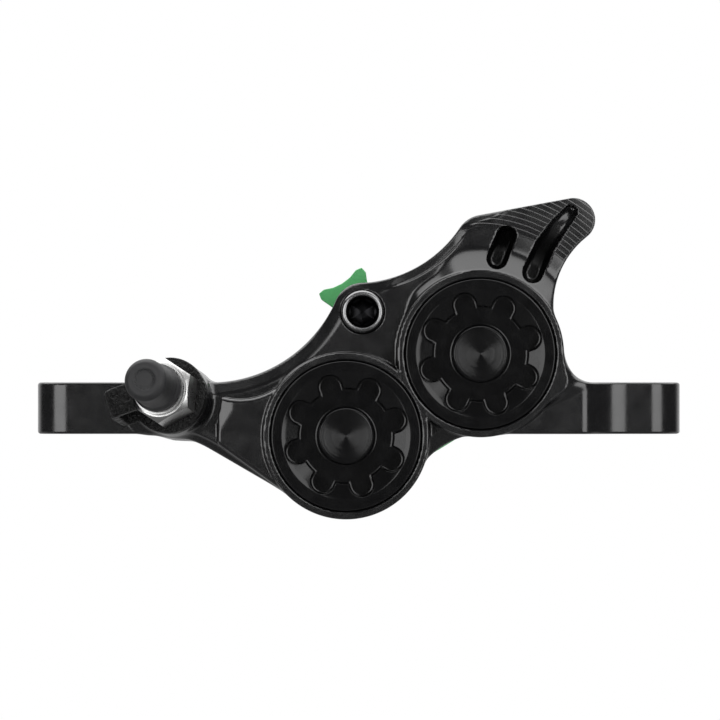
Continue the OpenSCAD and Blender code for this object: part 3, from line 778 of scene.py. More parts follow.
# %% A helper for nodes
def add(tree, kind, inputs=None, **settings):
    node = tree.nodes.new(kind)
    for name, value in settings.items():
        setattr(node, name, value)
    for name, value in (inputs or {}).items():
        if isinstance(value, bpy.types.NodeSocket):
            tree.links.new(value, node.inputs[name])
        else:
            node.inputs[name].default_value = value
    return node


def math_node(tree, operation, *values):
    node = add(tree, "ShaderNodeMath", dict(enumerate(values)), operation=operation)
    return node.outputs[0]


def group_tree(name, kind, inputs, outputs):
    """A node tree with named sockets. Inputs map a name to its socket type and its default value."""
    tree = bpy.data.node_groups.new(name, kind)
    for label, (socket, value) in inputs.items():
        made = tree.interface.new_socket(label, in_out="INPUT", socket_type=socket)
        if value is not None:
            made.default_value = value
    for label, socket in outputs.items():
        tree.interface.new_socket(label, in_out="OUTPUT", socket_type=socket)
    return tree, tree.nodes.new("NodeGroupInput").outputs, tree.nodes.new("NodeGroupOutput").inputs


def run_tree(name, tree, values, mesh=None):
    """Runs a geometry tree with these input values and returns its result as a plain piece."""
    made = piece(name, mesh or bpy.data.meshes.new(name))
    modifier = made.modifiers.new("shape", "NODES")
    modifier.node_group = tree
    for label, value in values.items():
        modifier[tree.interface.items_tree[label].identifier] = value
    graph = bpy.context.evaluated_depsgraph_get()
    result = bpy.data.meshes.new_from_object(made.evaluated_get(graph))
    made.modifiers.clear()
    made.data = result
    result.name = name
    return made


def end_shape(tree, geometry, finish, output):
    """Ends a shape tree: what was instanced becomes real, and the finish is set."""
    whole = add(tree, "GeometryNodeRealizeInstances", {"Geometry": geometry}).outputs["Geometry"]
    dressed = add(tree, "GeometryNodeSetMaterial", {"Geometry": whole, "Material": finish})
    tree.links.new(dressed.outputs["Geometry"], output)
    return tree


print("helpers for shape trees and finish trees are ready")

# %% [markdown]
# Finishes come before the other pieces, because a shape tree ends by setting one. Black anodising is a thin
# dyed film on blasted metal: almost black, a little uneven in gloss, with a fine grain. Its shine comes
# from the film's surface, so it is not a metal to the shader. The uneven film is a group that several
# finishes use.

# %% Shared effects
def film_group():
    """Colour, gloss and grain of a surface that is a little uneven."""
    tree, given, result = group_tree(
        "Anodised film", "ShaderNodeTree",
        {
            "Vector": ("NodeSocketVector", None), "Deep": ("NodeSocketColor", (0.003, 0.003, 0.0033, 1)),
            "Pale": ("NodeSocketColor", (0.006, 0.006, 0.0063, 1)), "Gloss low": ("NodeSocketFloat", 0.17),
            "Gloss high": ("NodeSocketFloat", 0.24), "Grain": ("NodeSocketFloat", 7000.0),
        },
        {"Color": "NodeSocketColor", "Roughness": "NodeSocketFloat", "Height": "NodeSocketFloat"},
    )
    vector = given["Vector"]
    cloud = add(tree, "ShaderNodeTexNoise", {"Vector": vector, "Scale": 420.0, "Detail": 5.0})
    grain = add(tree, "ShaderNodeTexNoise", {"Vector": vector, "Scale": given["Grain"], "Detail": 2.0})
    mixed = add(tree, "ShaderNodeMix", {"Factor": cloud.outputs["Fac"]}, data_type="RGBA")
    tree.links.new(given["Deep"], mixed.inputs["A"])
    tree.links.new(given["Pale"], mixed.inputs["B"])
    gloss = add(tree, "ShaderNodeMapRange", {
        "Value": cloud.outputs["Fac"], "From Min": 0.3, "From Max": 0.7,
        "To Min": given["Gloss low"], "To Max": given["Gloss high"],
    })
    tree.links.new(mixed.outputs["Result"], result["Color"])
    tree.links.new(gloss.outputs["Result"], result["Roughness"])
    tree.links.new(grain.outputs["Fac"], result["Height"])
    return tree


def radius_node(tree, parts):
    """Distance from the Y axis."""
    square = math_node(tree, "MULTIPLY", parts["X"], parts["X"])
    return math_node(tree, "SQRT", math_node(tree, "MULTIPLY_ADD", parts["Z"], parts["Z"], square))


def turned_group():
    """Rings left by a lathe tool around the Y axis of the given coordinates."""
    tree, given, result = group_tree(
        "Turned rings", "ShaderNodeTree",
        {"Vector": ("NodeSocketVector", None), "Pitch": ("NodeSocketFloat", 0.00013),
         "Rings to": ("NodeSocketFloat", 0.004)},
        {"Height": "NodeSocketFloat"},
    )
    radius = radius_node(tree, add(tree, "ShaderNodeSeparateXYZ", {0: given["Vector"]}).outputs)
    turns = math_node(tree, "MULTIPLY", math_node(tree, "DIVIDE", radius, given["Pitch"]), math.tau)
    uneven = add(tree, "ShaderNodeTexNoise", {"W": radius, "Scale": 2600.0}, noise_dimensions="1D")
    wave = math_node(tree, "MULTIPLY", math_node(tree, "SINE", turns), uneven.outputs["Fac"])
    fade = add(tree, "ShaderNodeMapRange", {
        "Value": radius, "From Min": given["Rings to"],
        "From Max": math_node(tree, "ADD", given["Rings to"], 0.0002), "To Min": 1.0, "To Max": 0.12,
    })
    tree.links.new(math_node(tree, "MULTIPLY", wave, fade.outputs["Result"]), result["Height"])
    return tree


film = film_group()
turned_rings = turned_group()
print("shared effects:", [g.name for g in (film, turned_rings)])

# %% [markdown]
# The cutter that milled the falling tail left it in fine flat steps. They are a few tenths
# of a millimetre high, too fine for this mesh, so they are a bump: the height of each step's flat above the
# smooth fall. The steps keep to the front of the tail, well away from the cone.

# %% Milled steps
def milled_group():
    """Flat steps that a cutter left on the falling tail, in circles around the Y axis."""
    tree, given, result = group_tree(
        "Milled steps", "ShaderNodeTree",
        {"Vector": ("NodeSocketVector", None), "Pitch": ("NodeSocketFloat", 0.00072),
         "From radius": ("NodeSocketFloat", fall_start * MM), "Above": ("NodeSocketFloat", 0.009),
         "Front": ("NodeSocketFloat", front_y * MM), "Fall radius": ("NodeSocketFloat", fall_r * MM),
         "Riser from": ("NodeSocketFloat", 0.84), "Reach": ("NodeSocketFloat", 0.0002),
         "Clear of cone": ("NodeSocketFloat", 0.0019)},
        {"Height": "NodeSocketFloat"},
    )
    parts = add(tree, "ShaderNodeSeparateXYZ", {0: given["Vector"]}).outputs
    beyond = math_node(tree, "SUBTRACT", radius_node(tree, parts), given["From radius"])
    run = math_node(tree, "MAXIMUM", beyond, 0.0)
    steps = math_node(tree, "DIVIDE", run, given["Pitch"])
    riser = add(tree, "ShaderNodeMapRange", {
        "Value": math_node(tree, "FRACT", steps), "From Min": given["Riser from"], "From Max": 1.0,
    }, interpolation_type="SMOOTHSTEP").outputs["Result"]
    whole_steps = math_node(tree, "ADD", math_node(tree, "FLOOR", steps), riser)
    stepped = math_node(tree, "MULTIPLY", whole_steps, given["Pitch"])
    twice = math_node(tree, "MULTIPLY", given["Fall radius"], 2.0)
    fallen = math_node(tree, "DIVIDE", math_node(tree, "MULTIPLY", run, run), twice)
    step_level = math_node(tree, "DIVIDE", math_node(tree, "MULTIPLY", stepped, stepped), twice)
    height = math_node(tree, "SUBTRACT", fallen, step_level)
    higher = math_node(tree, "SUBTRACT", parts["Z"], given["Above"])
    surface = math_node(tree, "ADD", given["Front"], fallen)
    near_face = math_node(tree, "SUBTRACT", math_node(tree, "ADD", surface, given["Reach"]), parts["Y"])
    well_out = math_node(tree, "SUBTRACT", run, given["Clear of cone"])
    for value, width in ((higher, 0.003), (near_face, 0.00015), (well_out, 0.0006)):
        share = add(tree, "ShaderNodeMapRange", {"Value": value, "From Max": width})
        share.interpolation_type = "SMOOTHSTEP"
        height = math_node(tree, "MULTIPLY", height, share.outputs["Result"])
    tree.links.new(height, result["Height"])
    return tree


milled_steps = milled_group()
print("milled steps:", len(milled_steps.nodes), "nodes")

# %% [markdown]
# The body and the caps wear the film. The body adds the milled steps, and the caps add the rings of a lathe.
# Coordinates are moved onto the bore that the steps and rings run around.

# %% Finishes with a film
def finish_base(name):
    material = bpy.data.materials.new(name)
    material.use_nodes = True
    tree = material.node_tree
    coords = add(tree, "ShaderNodeTexCoord").outputs["Object"]
    return material, tree, coords, tree.nodes["Principled BSDF"].inputs


def place_group(tree, group, inputs):
    return add(tree, "ShaderNodeGroup", inputs, node_tree=group).outputs


def centred(tree, coords, place):
    """Coordinates whose Y axis runs through this place."""
    shift = (-place[0] * MM, 0, -place[1] * MM)
    return add(tree, "ShaderNodeMapping", {"Vector": coords, "Location": shift}).outputs["Vector"]


def lay_film(tree, coat, shader):
    tree.links.new(coat["Color"], shader["Base Color"])
    tree.links.new(coat["Roughness"], shader["Roughness"])


def bump(tree, height, depth_mm, normal=None):
    inputs = {"Height": height, "Distance": depth_mm * MM, "Strength": 1.0}
    if normal is not None:
        inputs["Normal"] = normal
    return add(tree, "ShaderNodeBump", inputs).outputs["Normal"]


def black_body():
    material, tree, coords, shader = finish_base("black anodised body")
    coat = place_group(tree, film, {"Vector": coords})
    steps = place_group(tree, milled_steps, {"Vector": centred(tree, coords, upper)})
    grain = bump(tree, coat["Height"], 0.003)
    tree.links.new(bump(tree, steps["Height"], 1 / MM, grain), shader["Normal"])
    lay_film(tree, coat, shader)
    shader["Specular IOR Level"].default_value = 0.7
    return material


def black_cap(name, place):
    material, tree, coords, shader = finish_base(name)
    coat = place_group(tree, film, {
        "Vector": coords, "Gloss low": 0.13, "Gloss high": 0.2,
        "Deep": (0.0015, 0.0015, 0.0017, 1), "Pale": (0.0035, 0.0035, 0.0037, 1),
    })
    rings = place_group(tree, turned_rings, {"Vector": centred(tree, coords, place)})
    tree.links.new(bump(tree, rings["Height"], 0.006), shader["Normal"])
    lay_film(tree, coat, shader)
    shader["Specular IOR Level"].default_value = 0.36
    return material


body_finish = black_body()
cap_finishes = [black_cap("black anodised lower cap", lower), black_cap("black anodised upper cap", upper)]
print("films:", [m.name for m in (body_finish, *cap_finishes)])

# %% [markdown]
# The small pieces are steel, rubber, moulded phenolic and painted steel. Each has its own grain. The
# spring's is drawn out, because its steel was rolled.

# %% Finishes of the small pieces
def plain_finish(name, deep, pale, gloss, metallic, grain, depth_mm, stretch=(1, 1, 1)):
    """A finish whose colour, gloss and grain follow one noise, stretched where a tool drew it out."""
    material, tree, coords, shader = finish_base(name)
    drawn = add(tree, "ShaderNodeMapping", {"Vector": coords, "Scale": stretch})
    coat = place_group(tree, film, {
        "Vector": drawn.outputs["Vector"], "Deep": (*deep, 1), "Pale": (*pale, 1),
        "Gloss low": gloss[0], "Gloss high": gloss[1], "Grain": grain,
    })
    lay_film(tree, coat, shader)
    tree.links.new(bump(tree, coat["Height"], depth_mm), shader["Normal"])
    shader["Metallic"].default_value = metallic
    return material


# Each row: its two colours, the range of its roughness, metal or not, the scale and depth of its grain.
small_finishes = [
    ("bright steel", (0.45, 0.45, 0.45), (0.60, 0.60, 0.59), (0.24, 0.36), 1, 5200, 0.003),
    ("pin steel", (0.18, 0.18, 0.185), (0.26, 0.26, 0.26), (0.2, 0.3), 1, 6000, 0.003),
    ("clip steel", (0.40, 0.40, 0.39), (0.52, 0.52, 0.51), (0.28, 0.4), 1, 6000, 0.003),
    ("spring steel", (0.48, 0.47, 0.45), (0.60, 0.59, 0.57), (0.22, 0.34), 1, 3000, 0.003, (0.2, 1, 1)),
    ("moulded rubber", (0.006, 0.006, 0.007), (0.013, 0.013, 0.014), (0.5, 0.66), 0, 9000, 0.012),
    ("tether rubber", (0.001, 0.001, 0.001), (0.006, 0.006, 0.006), (0.26, 0.44), 0, 2000, 0.5),
    ("seal rubber", (0.012, 0.012, 0.012), (0.02, 0.02, 0.02), (0.4, 0.5), 0, 9000, 0.006),
    ("phenolic", (0.035, 0.026, 0.02), (0.06, 0.046, 0.036), (0.42, 0.56), 0, 2600, 0.012),
    ("green painted steel", (0.045, 0.29, 0.085), (0.068, 0.36, 0.11), (0.34, 0.46), 0, 4200, 0.01),
    ("friction compound", (0.04, 0.036, 0.032), (0.16, 0.14, 0.11), (0.6, 0.9), 0, 1500, 0.09),
    ("plug steel", (0.3, 0.3, 0.3), (0.42, 0.42, 0.42), (0.3, 0.42), 1, 6000, 0.003),
]
finishes = {name: plain_finish(name, *look) for name, *look in small_finishes}
tether_shader = finishes["tether rubber"].node_tree.nodes["Principled BSDF"]
tether_shader.inputs["Specular IOR Level"].default_value = 0.18
print("small finishes:", len(finishes))

# %% [markdown]
# Little light gets into the socket of the pad pin. Its walls get painted shade inside a small radius around
# the pin, so the bright rim ends where the socket begins.

# %% The pin's socket, with painted shade
def paint_socket_shade(material, place, radius, fade=0.3, shade_colour=(0.012, 0.012, 0.013, 1)):
    """Paints shade into a steel finish inside a radius around a Y axis."""
    tree = material.node_tree
    shader = tree.nodes["Principled BSDF"].inputs
    steel = shader["Base Color"].links[0].from_socket
    coords = centred(tree, add(tree, "ShaderNodeTexCoord").outputs["Object"], place)
    away = radius_node(tree, add(tree, "ShaderNodeSeparateXYZ", {0: coords}).outputs)
    unshaded = add(tree, "ShaderNodeMapRange", {
        "Value": away, "From Min": radius * MM, "From Max": (radius + fade) * MM,
    })
    # Painted shade: the steel turns near black inside the radius and fades back to plain steel outside it.
    mixed = add(tree, "ShaderNodeMix", {"Factor": unshaded.outputs["Result"]}, data_type="RGBA")
    mixed.inputs["A"].default_value = shade_colour
    tree.links.new(steel, mixed.inputs["B"])
    tree.links.new(mixed.outputs["Result"], shader["Base Color"])


# Radius of the painted shade in the pin's socket.
socket_shade_r = 2.0
paint_socket_shade(finishes["pin steel"], pin, socket_shade_r)
print("finishes:", len(bpy.data.materials))

# %% [markdown]
# A bore cap is a turned disc with a tool recess: a round hollow with eight lobes, around a turned centre.
# The shape follows a rule, so a tree of nodes makes it. The mesh that goes in is a plain polar grid whose
# rings carry their radius, depth and offset. Rings of the recess take their radius from the rule instead.

# %% A tree for the lobed cap
LOBES = 8


def lobed_cap_tree(finish):
    tree, given, result = group_tree(
        "Lobed cap", "GeometryNodeTree",
        {
            "Grid": ("NodeSocketGeometry", None), "Lobes": ("NodeSocketFloat", 8.0),
            "First lobe": ("NodeSocketFloat", 0.3), "Lobe circle": ("NodeSocketFloat", 0.006),
            "Lobe radius": ("NodeSocketFloat", 0.0016), "Recess radius": ("NodeSocketFloat", 0.006),
            "Softness": ("NodeSocketFloat", 0.0002), "Cone radius": ("NodeSocketFloat", 0.009),
            "Cone slope": ("NodeSocketFloat", 0.4), "Centre": ("NodeSocketVector", None),
        },
        {"Cap": "NodeSocketGeometry"},
    )

    def ring_value(name):
        named = add(tree, "GeometryNodeInputNamedAttribute", {"Name": name}, data_type="FLOAT")
        return named.outputs["Attribute"]

    ring = {name: ring_value(name) for name in ("angle", "radius", "depth", "offset", "lobed", "on_cone")}
    pitch = math_node(tree, "DIVIDE", math.tau, given["Lobes"])
    half = math_node(tree, "DIVIDE", pitch, 2.0)
    turned_by = math_node(tree, "ADD", math_node(tree, "SUBTRACT", ring["angle"], given["First lobe"]), half)
    phi = math_node(tree, "SUBTRACT", math_node(tree, "FLOORED_MODULO", turned_by, pitch), half)
    aside = math_node(tree, "MULTIPLY", given["Lobe circle"], math_node(tree, "SINE", phi))
    lobe = math_node(tree, "ADD", given["Lobe radius"], ring["offset"])
    lobe_square = math_node(tree, "MULTIPLY", lobe, lobe)
    left = math_node(tree, "SUBTRACT", lobe_square, math_node(tree, "MULTIPLY", aside, aside))
    reach = math_node(tree, "SQRT", math_node(tree, "MAXIMUM", left, 0.0))
    to_lobe = math_node(tree, "MULTIPLY", given["Lobe circle"], math_node(tree, "COSINE", phi))
    on_lobe = math_node(tree, "GREATER_THAN", left, 0.0)
    far_side = math_node(tree, "MULTIPLY", math_node(tree, "ADD", to_lobe, reach), on_lobe)
    inner_edge = math_node(tree, "ADD", given["Recess radius"], ring["offset"])
    land = math_node(tree, "MAXIMUM", inner_edge, ring["radius"])
    rule = math_node(tree, "SMOOTH_MAX", land, far_side, given["Softness"])
    share = math_node(tree, "SUBTRACT", rule, ring["radius"])
    radius = math_node(tree, "MULTIPLY_ADD", share, ring["lobed"], ring["radius"])
    inward = math_node(tree, "MAXIMUM", math_node(tree, "SUBTRACT", given["Cone radius"], radius), 0.0)
    cone = math_node(tree, "MULTIPLY", inward, given["Cone slope"])
    depth = math_node(tree, "MULTIPLY_ADD", cone, ring["on_cone"], ring["depth"])
    spot = add(tree, "ShaderNodeCombineXYZ", {
        "X": math_node(tree, "MULTIPLY", radius, math_node(tree, "COSINE", ring["angle"])),
        "Y": depth,
        "Z": math_node(tree, "MULTIPLY", radius, math_node(tree, "SINE", ring["angle"])),
    })
    centred_spot = {0: spot.outputs["Vector"], 1: given["Centre"]}
    placed = add(tree, "ShaderNodeVectorMath", centred_spot, operation="ADD").outputs["Vector"]
    moved = add(tree, "GeometryNodeSetPosition", {"Geometry": given["Grid"], "Position": placed})
    return end_shape(tree, moved.outputs["Geometry"], finish, result["Cap"])


print("a cap's recess has", LOBES, "lobes")

# %% The rings of a cap
cone_r, recess_r, centre_r = 8.8, 6.6, 3.9
cone_slope = 1.1 / (cone_r - recess_r)
recess_floor = cap_face + 2.3
lip, foot = 0.1, 0.35
rim_r, rim_round = 10.3, 0.18
skirt_r, skirt_inner_r = 9.35, 7.2
skirt_floor = skirt_end - 1.9
groove_r, groove_back = 8.55, flange_under + 1.3
centre_round = 0.3
centre_face = cap_face + 0.57
centre_flat_r, centre_dish = centre_r - 0.42, 0.25


def quarter(count):
    """Sine, and one minus cosine, over a quarter turn: the course of a rounded edge."""
    return [(math.sin(a), 1 - math.cos(a)) for a in np.linspace(0, math.pi / 2, count)]


def cap_rings():
    """Rings from the back of the cap round its rim to the middle of its front.

    A ring is (radius, depth, offset, lobed, on_cone).
    """
    back = [
        (0, skirt_floor), (skirt_inner_r, skirt_floor), (skirt_inner_r, skirt_end), (skirt_r, skirt_end),
        (skirt_r, groove_back), (groove_r, groove_back), (groove_r, flange_under),
        (rim_r - 0.02, flange_under), (rim_r, flange_under - 0.05), (rim_r, cap_face + 0.4),
    ]
    rim = [(rim_r - rim_round * d, cap_face + rim_round * (1 - s)) for s, d in quarter(6)]
    land = [(rim_r - 0.24, cap_face), (cone_r + 0.3, cap_face)]
    centre = [(centre_r + 0.36, recess_floor)]
    centre += [(centre_r + centre_round * (1 - s), recess_floor - centre_round * d) for s, d in quarter(5)]
    centre += [
        (centre_r, cap_face + 0.95), (centre_r, cap_face + 0.88), (centre_r - 0.04, cap_face + 0.82),
        (centre_r - 0.27, cap_face + 0.60), (centre_r - 0.34, centre_face), (centre_flat_r, centre_face),
    ]
    for r in (2.8, 2.0, 1.2, 0.5, 0):
        centre.append((r, centre_face + centre_dish * (1 - r / centre_flat_r)))
    recess = [(r, cap_face, lip + 0.16 - 0.02 * k, 1, 1) for k, r in enumerate((8.86, 8.76, 8.2, 7.6, 7.1))]
    recess += [(0, cap_face, lip + 0.03, 1, 1)]
    recess += [(0, cap_face + lip * d, lip * (1 - s), 1, 1) for s, d in quarter(6)]
    recess += [(0, recess_floor - foot - 0.05, 0, 1, 0)]
    recess += [(0, recess_floor - foot * (1 - s), -foot * d, 1, 0) for s, d in quarter(5)]
    recess += [(0, recess_floor, -foot - 0.06, 1, 0)]
    outside = [(r, y, 0, 0, 0) for r, y in back + rim + land]
    return outside + recess + [(r, y, 0, 0, 0) for r, y in centre]


def ring_faces(rows, spokes, closed=False):
    """Four-sided faces that join each ring of points to the next one."""
    k = np.arange(spokes)
    after = (k + 1) % spokes
    faces = []
    for row in range(rows if closed else rows - 1):
        here, there = row * spokes, (row + 1) % rows * spokes
        faces.append(np.stack([here + k, here + after, there + after, there + k], 1))
    return np.concatenate(faces)


def polar_grid(name, rings, spokes):
    """A grid of rings around Y whose points carry the values that the tree reads."""
    angles = np.arange(spokes) * math.tau / spokes
    rows = len(rings)
    spots = np.array([[r * math.cos(a), y, r * math.sin(a)] for r, y, *_ in rings for a in angles])
    mesh = mesh_from(name, spots, ring_faces(rows, spokes))
    columns = np.repeat(np.array(rings, float), spokes, axis=0).T
    values = {"angle": np.tile(angles, rows), "radius": columns[0] * MM, "depth": columns[1] * MM,
              "offset": columns[2] * MM, "lobed": columns[3], "on_cone": columns[4]}
    for label, data in values.items():
        mesh.attributes.new(label, "FLOAT", "POINT").data.foreach_set("value", data.astype(np.float32))
    return mesh


print("a cap has", len(cap_rings()), "rings")

# %% The two bore caps
def tidy(made, sharp_deg=40):
    """Merges doubled points, turns the faces outwards and shades smoothly up to sharp edges."""
    shape = bmesh.new()
    shape.from_mesh(made.data)
    bmesh.ops.remove_doubles(shape, verts=shape.verts, dist=2e-6)
    bmesh.ops.dissolve_degenerate(shape, edges=shape.edges, dist=1e-7)
    bmesh.ops.recalc_face_normals(shape, faces=shape.faces)
    shape.to_mesh(made.data)
    shape.free()
    made.data.polygons.foreach_set("use_smooth", np.ones(len(made.data.polygons), bool))
    made.data.set_sharp_from_angle(angle=math.radians(sharp_deg))
    return made


caps = []
for name, place, finish in zip(("lower", "upper"), (lower, upper), cap_finishes):
    made = run_tree(f"{name}_cap", lobed_cap_tree(finish), {
        "Lobes": float(LOBES), "First lobe": math.radians(18),
        "Lobe circle": 7.0 * MM, "Lobe radius": 1.75 * MM,
        "Recess radius": recess_r * MM, "Softness": 0.25 * MM, "Cone radius": cone_r * MM,
        "Cone slope": cone_slope, "Centre": (place[0] * MM, 0.0, place[1] * MM),
    }, polar_grid(f"{name}_cap", cap_rings(), 384))
    caps.append(tidy(made))
print("caps:", [len(c.data.polygons) for c in caps], "faces each")

# %% [markdown]
# The steel pieces, the pads and the pistons already have their shape in the solids. A copy of the solid with
# its edges softened is enough for them: real edges are broken by a file or by tumbling, and catch the light.

# %% Softened copies of solids
def softened(node, width, segments=3, sharp_deg=24):
    shape = bmesh.new()
    shape.from_mesh(frame["nodes"][node].data)
    bmesh.ops.remove_doubles(shape, verts=shape.verts, dist=3e-6)
    bmesh.ops.dissolve_limit(shape, angle_limit=math.radians(1.0), verts=shape.verts, edges=shape.edges)
    edges = [e for e in shape.edges if e.is_manifold and e.calc_face_angle(0) > math.radians(sharp_deg)]
    bmesh.ops.bevel(
        shape, geom=edges, offset=width * MM, offset_type="OFFSET", segments=segments, profile=0.5,
        affect="EDGES", clamp_overlap=True,
    )
    mesh = bpy.data.meshes.new(f"{node}_piece")
    shape.to_mesh(mesh)
    shape.free()
    mesh.polygons.foreach_set("use_smooth", np.ones(len(mesh.polygons), bool))
    made = piece(f"{node}_piece", mesh)
    weighted = made.modifiers.new("even shading", "WEIGHTED_NORMAL")
    weighted.keep_sharp = True
    return made


def dress(made, finish, body_name, slot, *nodes):
    """Gives a piece its finish, the body it moves with and the solids it stands for. Its slot is not used."""
    made.data.materials.clear()
    made.data.materials.append(finish)
    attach(made, body_name)
    if nodes:
        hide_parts(*nodes)
    return made


dress(body, body_finish, "caliper", "body_anodised", "caliper_body")
for name, made, finish in zip(("lower", "upper"), caps, cap_finishes):
    dress(made, finish, "caliper", "cap_anodised", f"{name}_bore_cap")
pieces = [
    ("pin_clip", 0.14, "clip steel", "caliper", "clip_steel"),
    ("gallery_plug", 0.2, "plug steel", "caliper", "plug_steel"),
    ("bleed_nipple", 0.14, "bright steel", "nipple", "nipple_steel"),
    ("dust_cap", 0.35, "moulded rubber", "dust_cap", "cap_rubber"),
]
for side in ("outer", "inner"):
    pieces.append((f"{side}_backing_plate", 0.2, "green painted steel", f"{side}_pad", "pad_green"))
    pieces.append((f"{side}_friction", 0.25, "friction compound", f"{side}_pad", "friction"))
    for row in ("lower", "upper"):
        piston = f"{side}_{row}_piston"
        pieces.append((piston, 0.2, "phenolic", piston, "piston_phenolic"))
for node, width, finish, body_name, slot in pieces:
    dress(softened(node, width), finishes[finish], body_name, slot, node)
print("softened copies:", len(pieces))

# %% [markdown]
# The leaf spring pushes the pads apart, with a leg on each green plate. When the pads close in, the real
# spring bends. A stiff copy would cut into the plates, so the copy is split at the rotor into two sides.


def spring_side(side, way):
    """The part of the spring on one side of the rotor. Way is -1 outboard and 1 inboard."""
    made = softened("pad_spring", 0.06)
    made.name = f"pad_spring_{side}_side"
    shape = bmesh.new()
    shape.from_mesh(made.data)
    whole = shape.verts[:] + shape.edges[:] + shape.faces[:]
    split = (0, rotor_y * MM, 0)
    parted = bmesh.ops.bisect_plane(shape, geom=whole, plane_co=split, plane_no=(0, way, 0), clear_inner=True)
    rim = [e for e in parted["geom_cut"] if isinstance(e, bmesh.types.BMEdge)]
    bmesh.ops.holes_fill(shape, edges=rim, sides=0)
    shape.to_mesh(made.data)
    shape.free()
    tidy(made)
    made.data.materials.append(finishes["spring steel"])
    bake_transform(made)
    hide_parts("pad_spring")
    return made


spring_sides = [spring_side("outer", -1), spring_side("inner", 1)]
print("pad spring:", [len(s.data.polygons) for s in spring_sides], "faces on each side")

# %% [markdown]
# The pin's head is what the photograph shows of it: a rounded rim around a hexagonal socket. It is turned
# like the real one, ring by ring, and the rings of the socket are hexagons.

# %% The pad pin
def hex_reach(angle, half_flats):
    """Distance from the middle of a hexagon to its side, at this angle."""
    return half_flats / math.cos((angle + math.pi / 6) % (math.pi / 3) - math.pi / 6)


def arc(centre_r, centre_h, r, start_deg, end_deg, count=6):
    angles = np.radians(np.linspace(start_deg, end_deg, count))
    return [(centre_r + r * math.cos(a), centre_h + r * math.sin(a)) for a in angles]


def ringed(name, rings, place, spokes=96):
    """A piece turned around Y from rings of (radius, depth, is a hexagon)."""
    angles = np.arange(spokes) * math.tau / spokes
    spots = []
    for r, depth, hexed in rings:
        for a in angles:
            reach = hex_reach(a, r) if hexed else r
            spots.append((place[0] + reach * math.cos(a), depth, place[1] + reach * math.sin(a)))
    mesh = mesh_from(name, np.array(spots), ring_faces(len(rings), spokes))
    return tidy(piece(name, mesh), 30)


pin_low, pin_high = box_mm("pad_pin")
pin_front, pin_tip = pin_low[1], pin_high[1]
head_r, shank_r = (pin_high[0] - pin_low[0]) / 2, 2.0
clip_low, clip_high = box_mm("pin_clip")
hex_half, hex_depth, hex_start = 1.6, 4.8, 1.3
crest_r, head_depth = head_r - 0.5, 7.2
clip_groove_r, clip_play = shank_r - 0.6, 0.05
tip_round = 0.4
socket = [(0, pin_front + 5.6, False)]
socket += [(hex_half, pin_front + depth, True) for depth in (hex_depth, hex_start)]
outside = [(1.9, pin_front + 1.15)]
outside += arc(crest_r, pin_front + 0.25, 0.25, 185, 270, 6)
outside += arc(crest_r, pin_front + 0.5, 0.5, 274, 360, 10)
outside += [(head_r, pin_front + head_depth), (shank_r, pin_front + head_depth)]
outside += [(shank_r, clip_low[1] - clip_play), (clip_groove_r, clip_low[1] - clip_play)]
outside += [(clip_groove_r, clip_high[1] + clip_play), (shank_r, clip_high[1] + clip_play)]
outside += arc(shank_r - tip_round, pin_tip - tip_round, tip_round, 0, 90, 5)
outside += [(0, pin_tip)]
pin_rings = socket + [(r, y, False) for r, y in outside]
pad_pin = ringed("pad_pin_piece", pin_rings, pin)
dress(pad_pin, finishes["pin steel"], "caliper", "pin_steel", "pad_pin")
print("pad pin:", len(pad_pin.data.polygons), "faces")

# %% [markdown]
# Seals and O-rings are one section carried round a circle, which is what Curve to Mesh does. One tree makes
# all six from a rounded rectangle: an O-ring is the case where the rounding fills the section.

# %% A tree for rings
def rounded_section(tree, width, height, corner, count):
    """A rectangle with rounded corners, as a curve."""
    section = add(tree, "GeometryNodeCurvePrimitiveQuadrilateral", {"Width": width, "Height": height})
    eased = add(tree, "GeometryNodeFilletCurve", {
        "Curve": section.outputs["Curve"], "Radius": corner, "Count": count,
    }, mode="POLY")
    return eased.outputs["Curve"]


def ring_tree(finish):
    tree, given, result = group_tree(
        "Sealing ring", "GeometryNodeTree",
        {
            "Ring radius": ("NodeSocketFloat", 0.008), "Radial": ("NodeSocketFloat", 0.0015),
            "Axial": ("NodeSocketFloat", 0.002), "Corner": ("NodeSocketFloat", 0.0002),
            "Centre": ("NodeSocketVector", None),
        },
        {"Ring": "NodeSocketGeometry"},
    )
    path = add(tree, "GeometryNodeCurvePrimitiveCircle", {"Resolution": 96, "Radius": given["Ring radius"]})
    section = rounded_section(tree, given["Radial"], given["Axial"], given["Corner"], 5)
    swept = add(tree, "GeometryNodeCurveToMesh", {"Curve": path.outputs["Curve"], "Profile Curve": section})
    placed = add(tree, "GeometryNodeTransform", {
        "Geometry": swept.outputs["Mesh"], "Rotation": (math.pi / 2, 0, 0), "Translation": given["Centre"],
    })
    return end_shape(tree, placed.outputs["Geometry"], finish, result["Ring"])


seal_radial, seal_corner = 1.5, 0.15
oring_corner_share = 0.49
sealing_ring = ring_tree(finishes["seal rubber"])
ring_nodes = [f"{row}_cap_oring" for row in ("lower", "upper")]
ring_nodes += [f"{side}_{row}_seal" for side in ("outer", "inner") for row in ("lower", "upper")]
for node in ring_nodes:
    low, high = box_mm(node)
    axial = high[1] - low[1]
    is_oring = "oring" in node
    radial = axial if is_oring else seal_radial
    made = run_tree(f"{node}_ring", sealing_ring, {
        "Ring radius": ((high[0] - low[0]) / 2 - radial / 2) * MM, "Radial": radial * MM, "Axial": axial * MM,
        "Corner": (oring_corner_share * axial if is_oring else seal_corner) * MM,
        "Centre": tuple((low + high) / 2 * MM),
    })
    dress(tidy(made), finishes["seal rubber"], "caliper", "seal_rubber", node)
print("sealing rings:", len(ring_nodes))
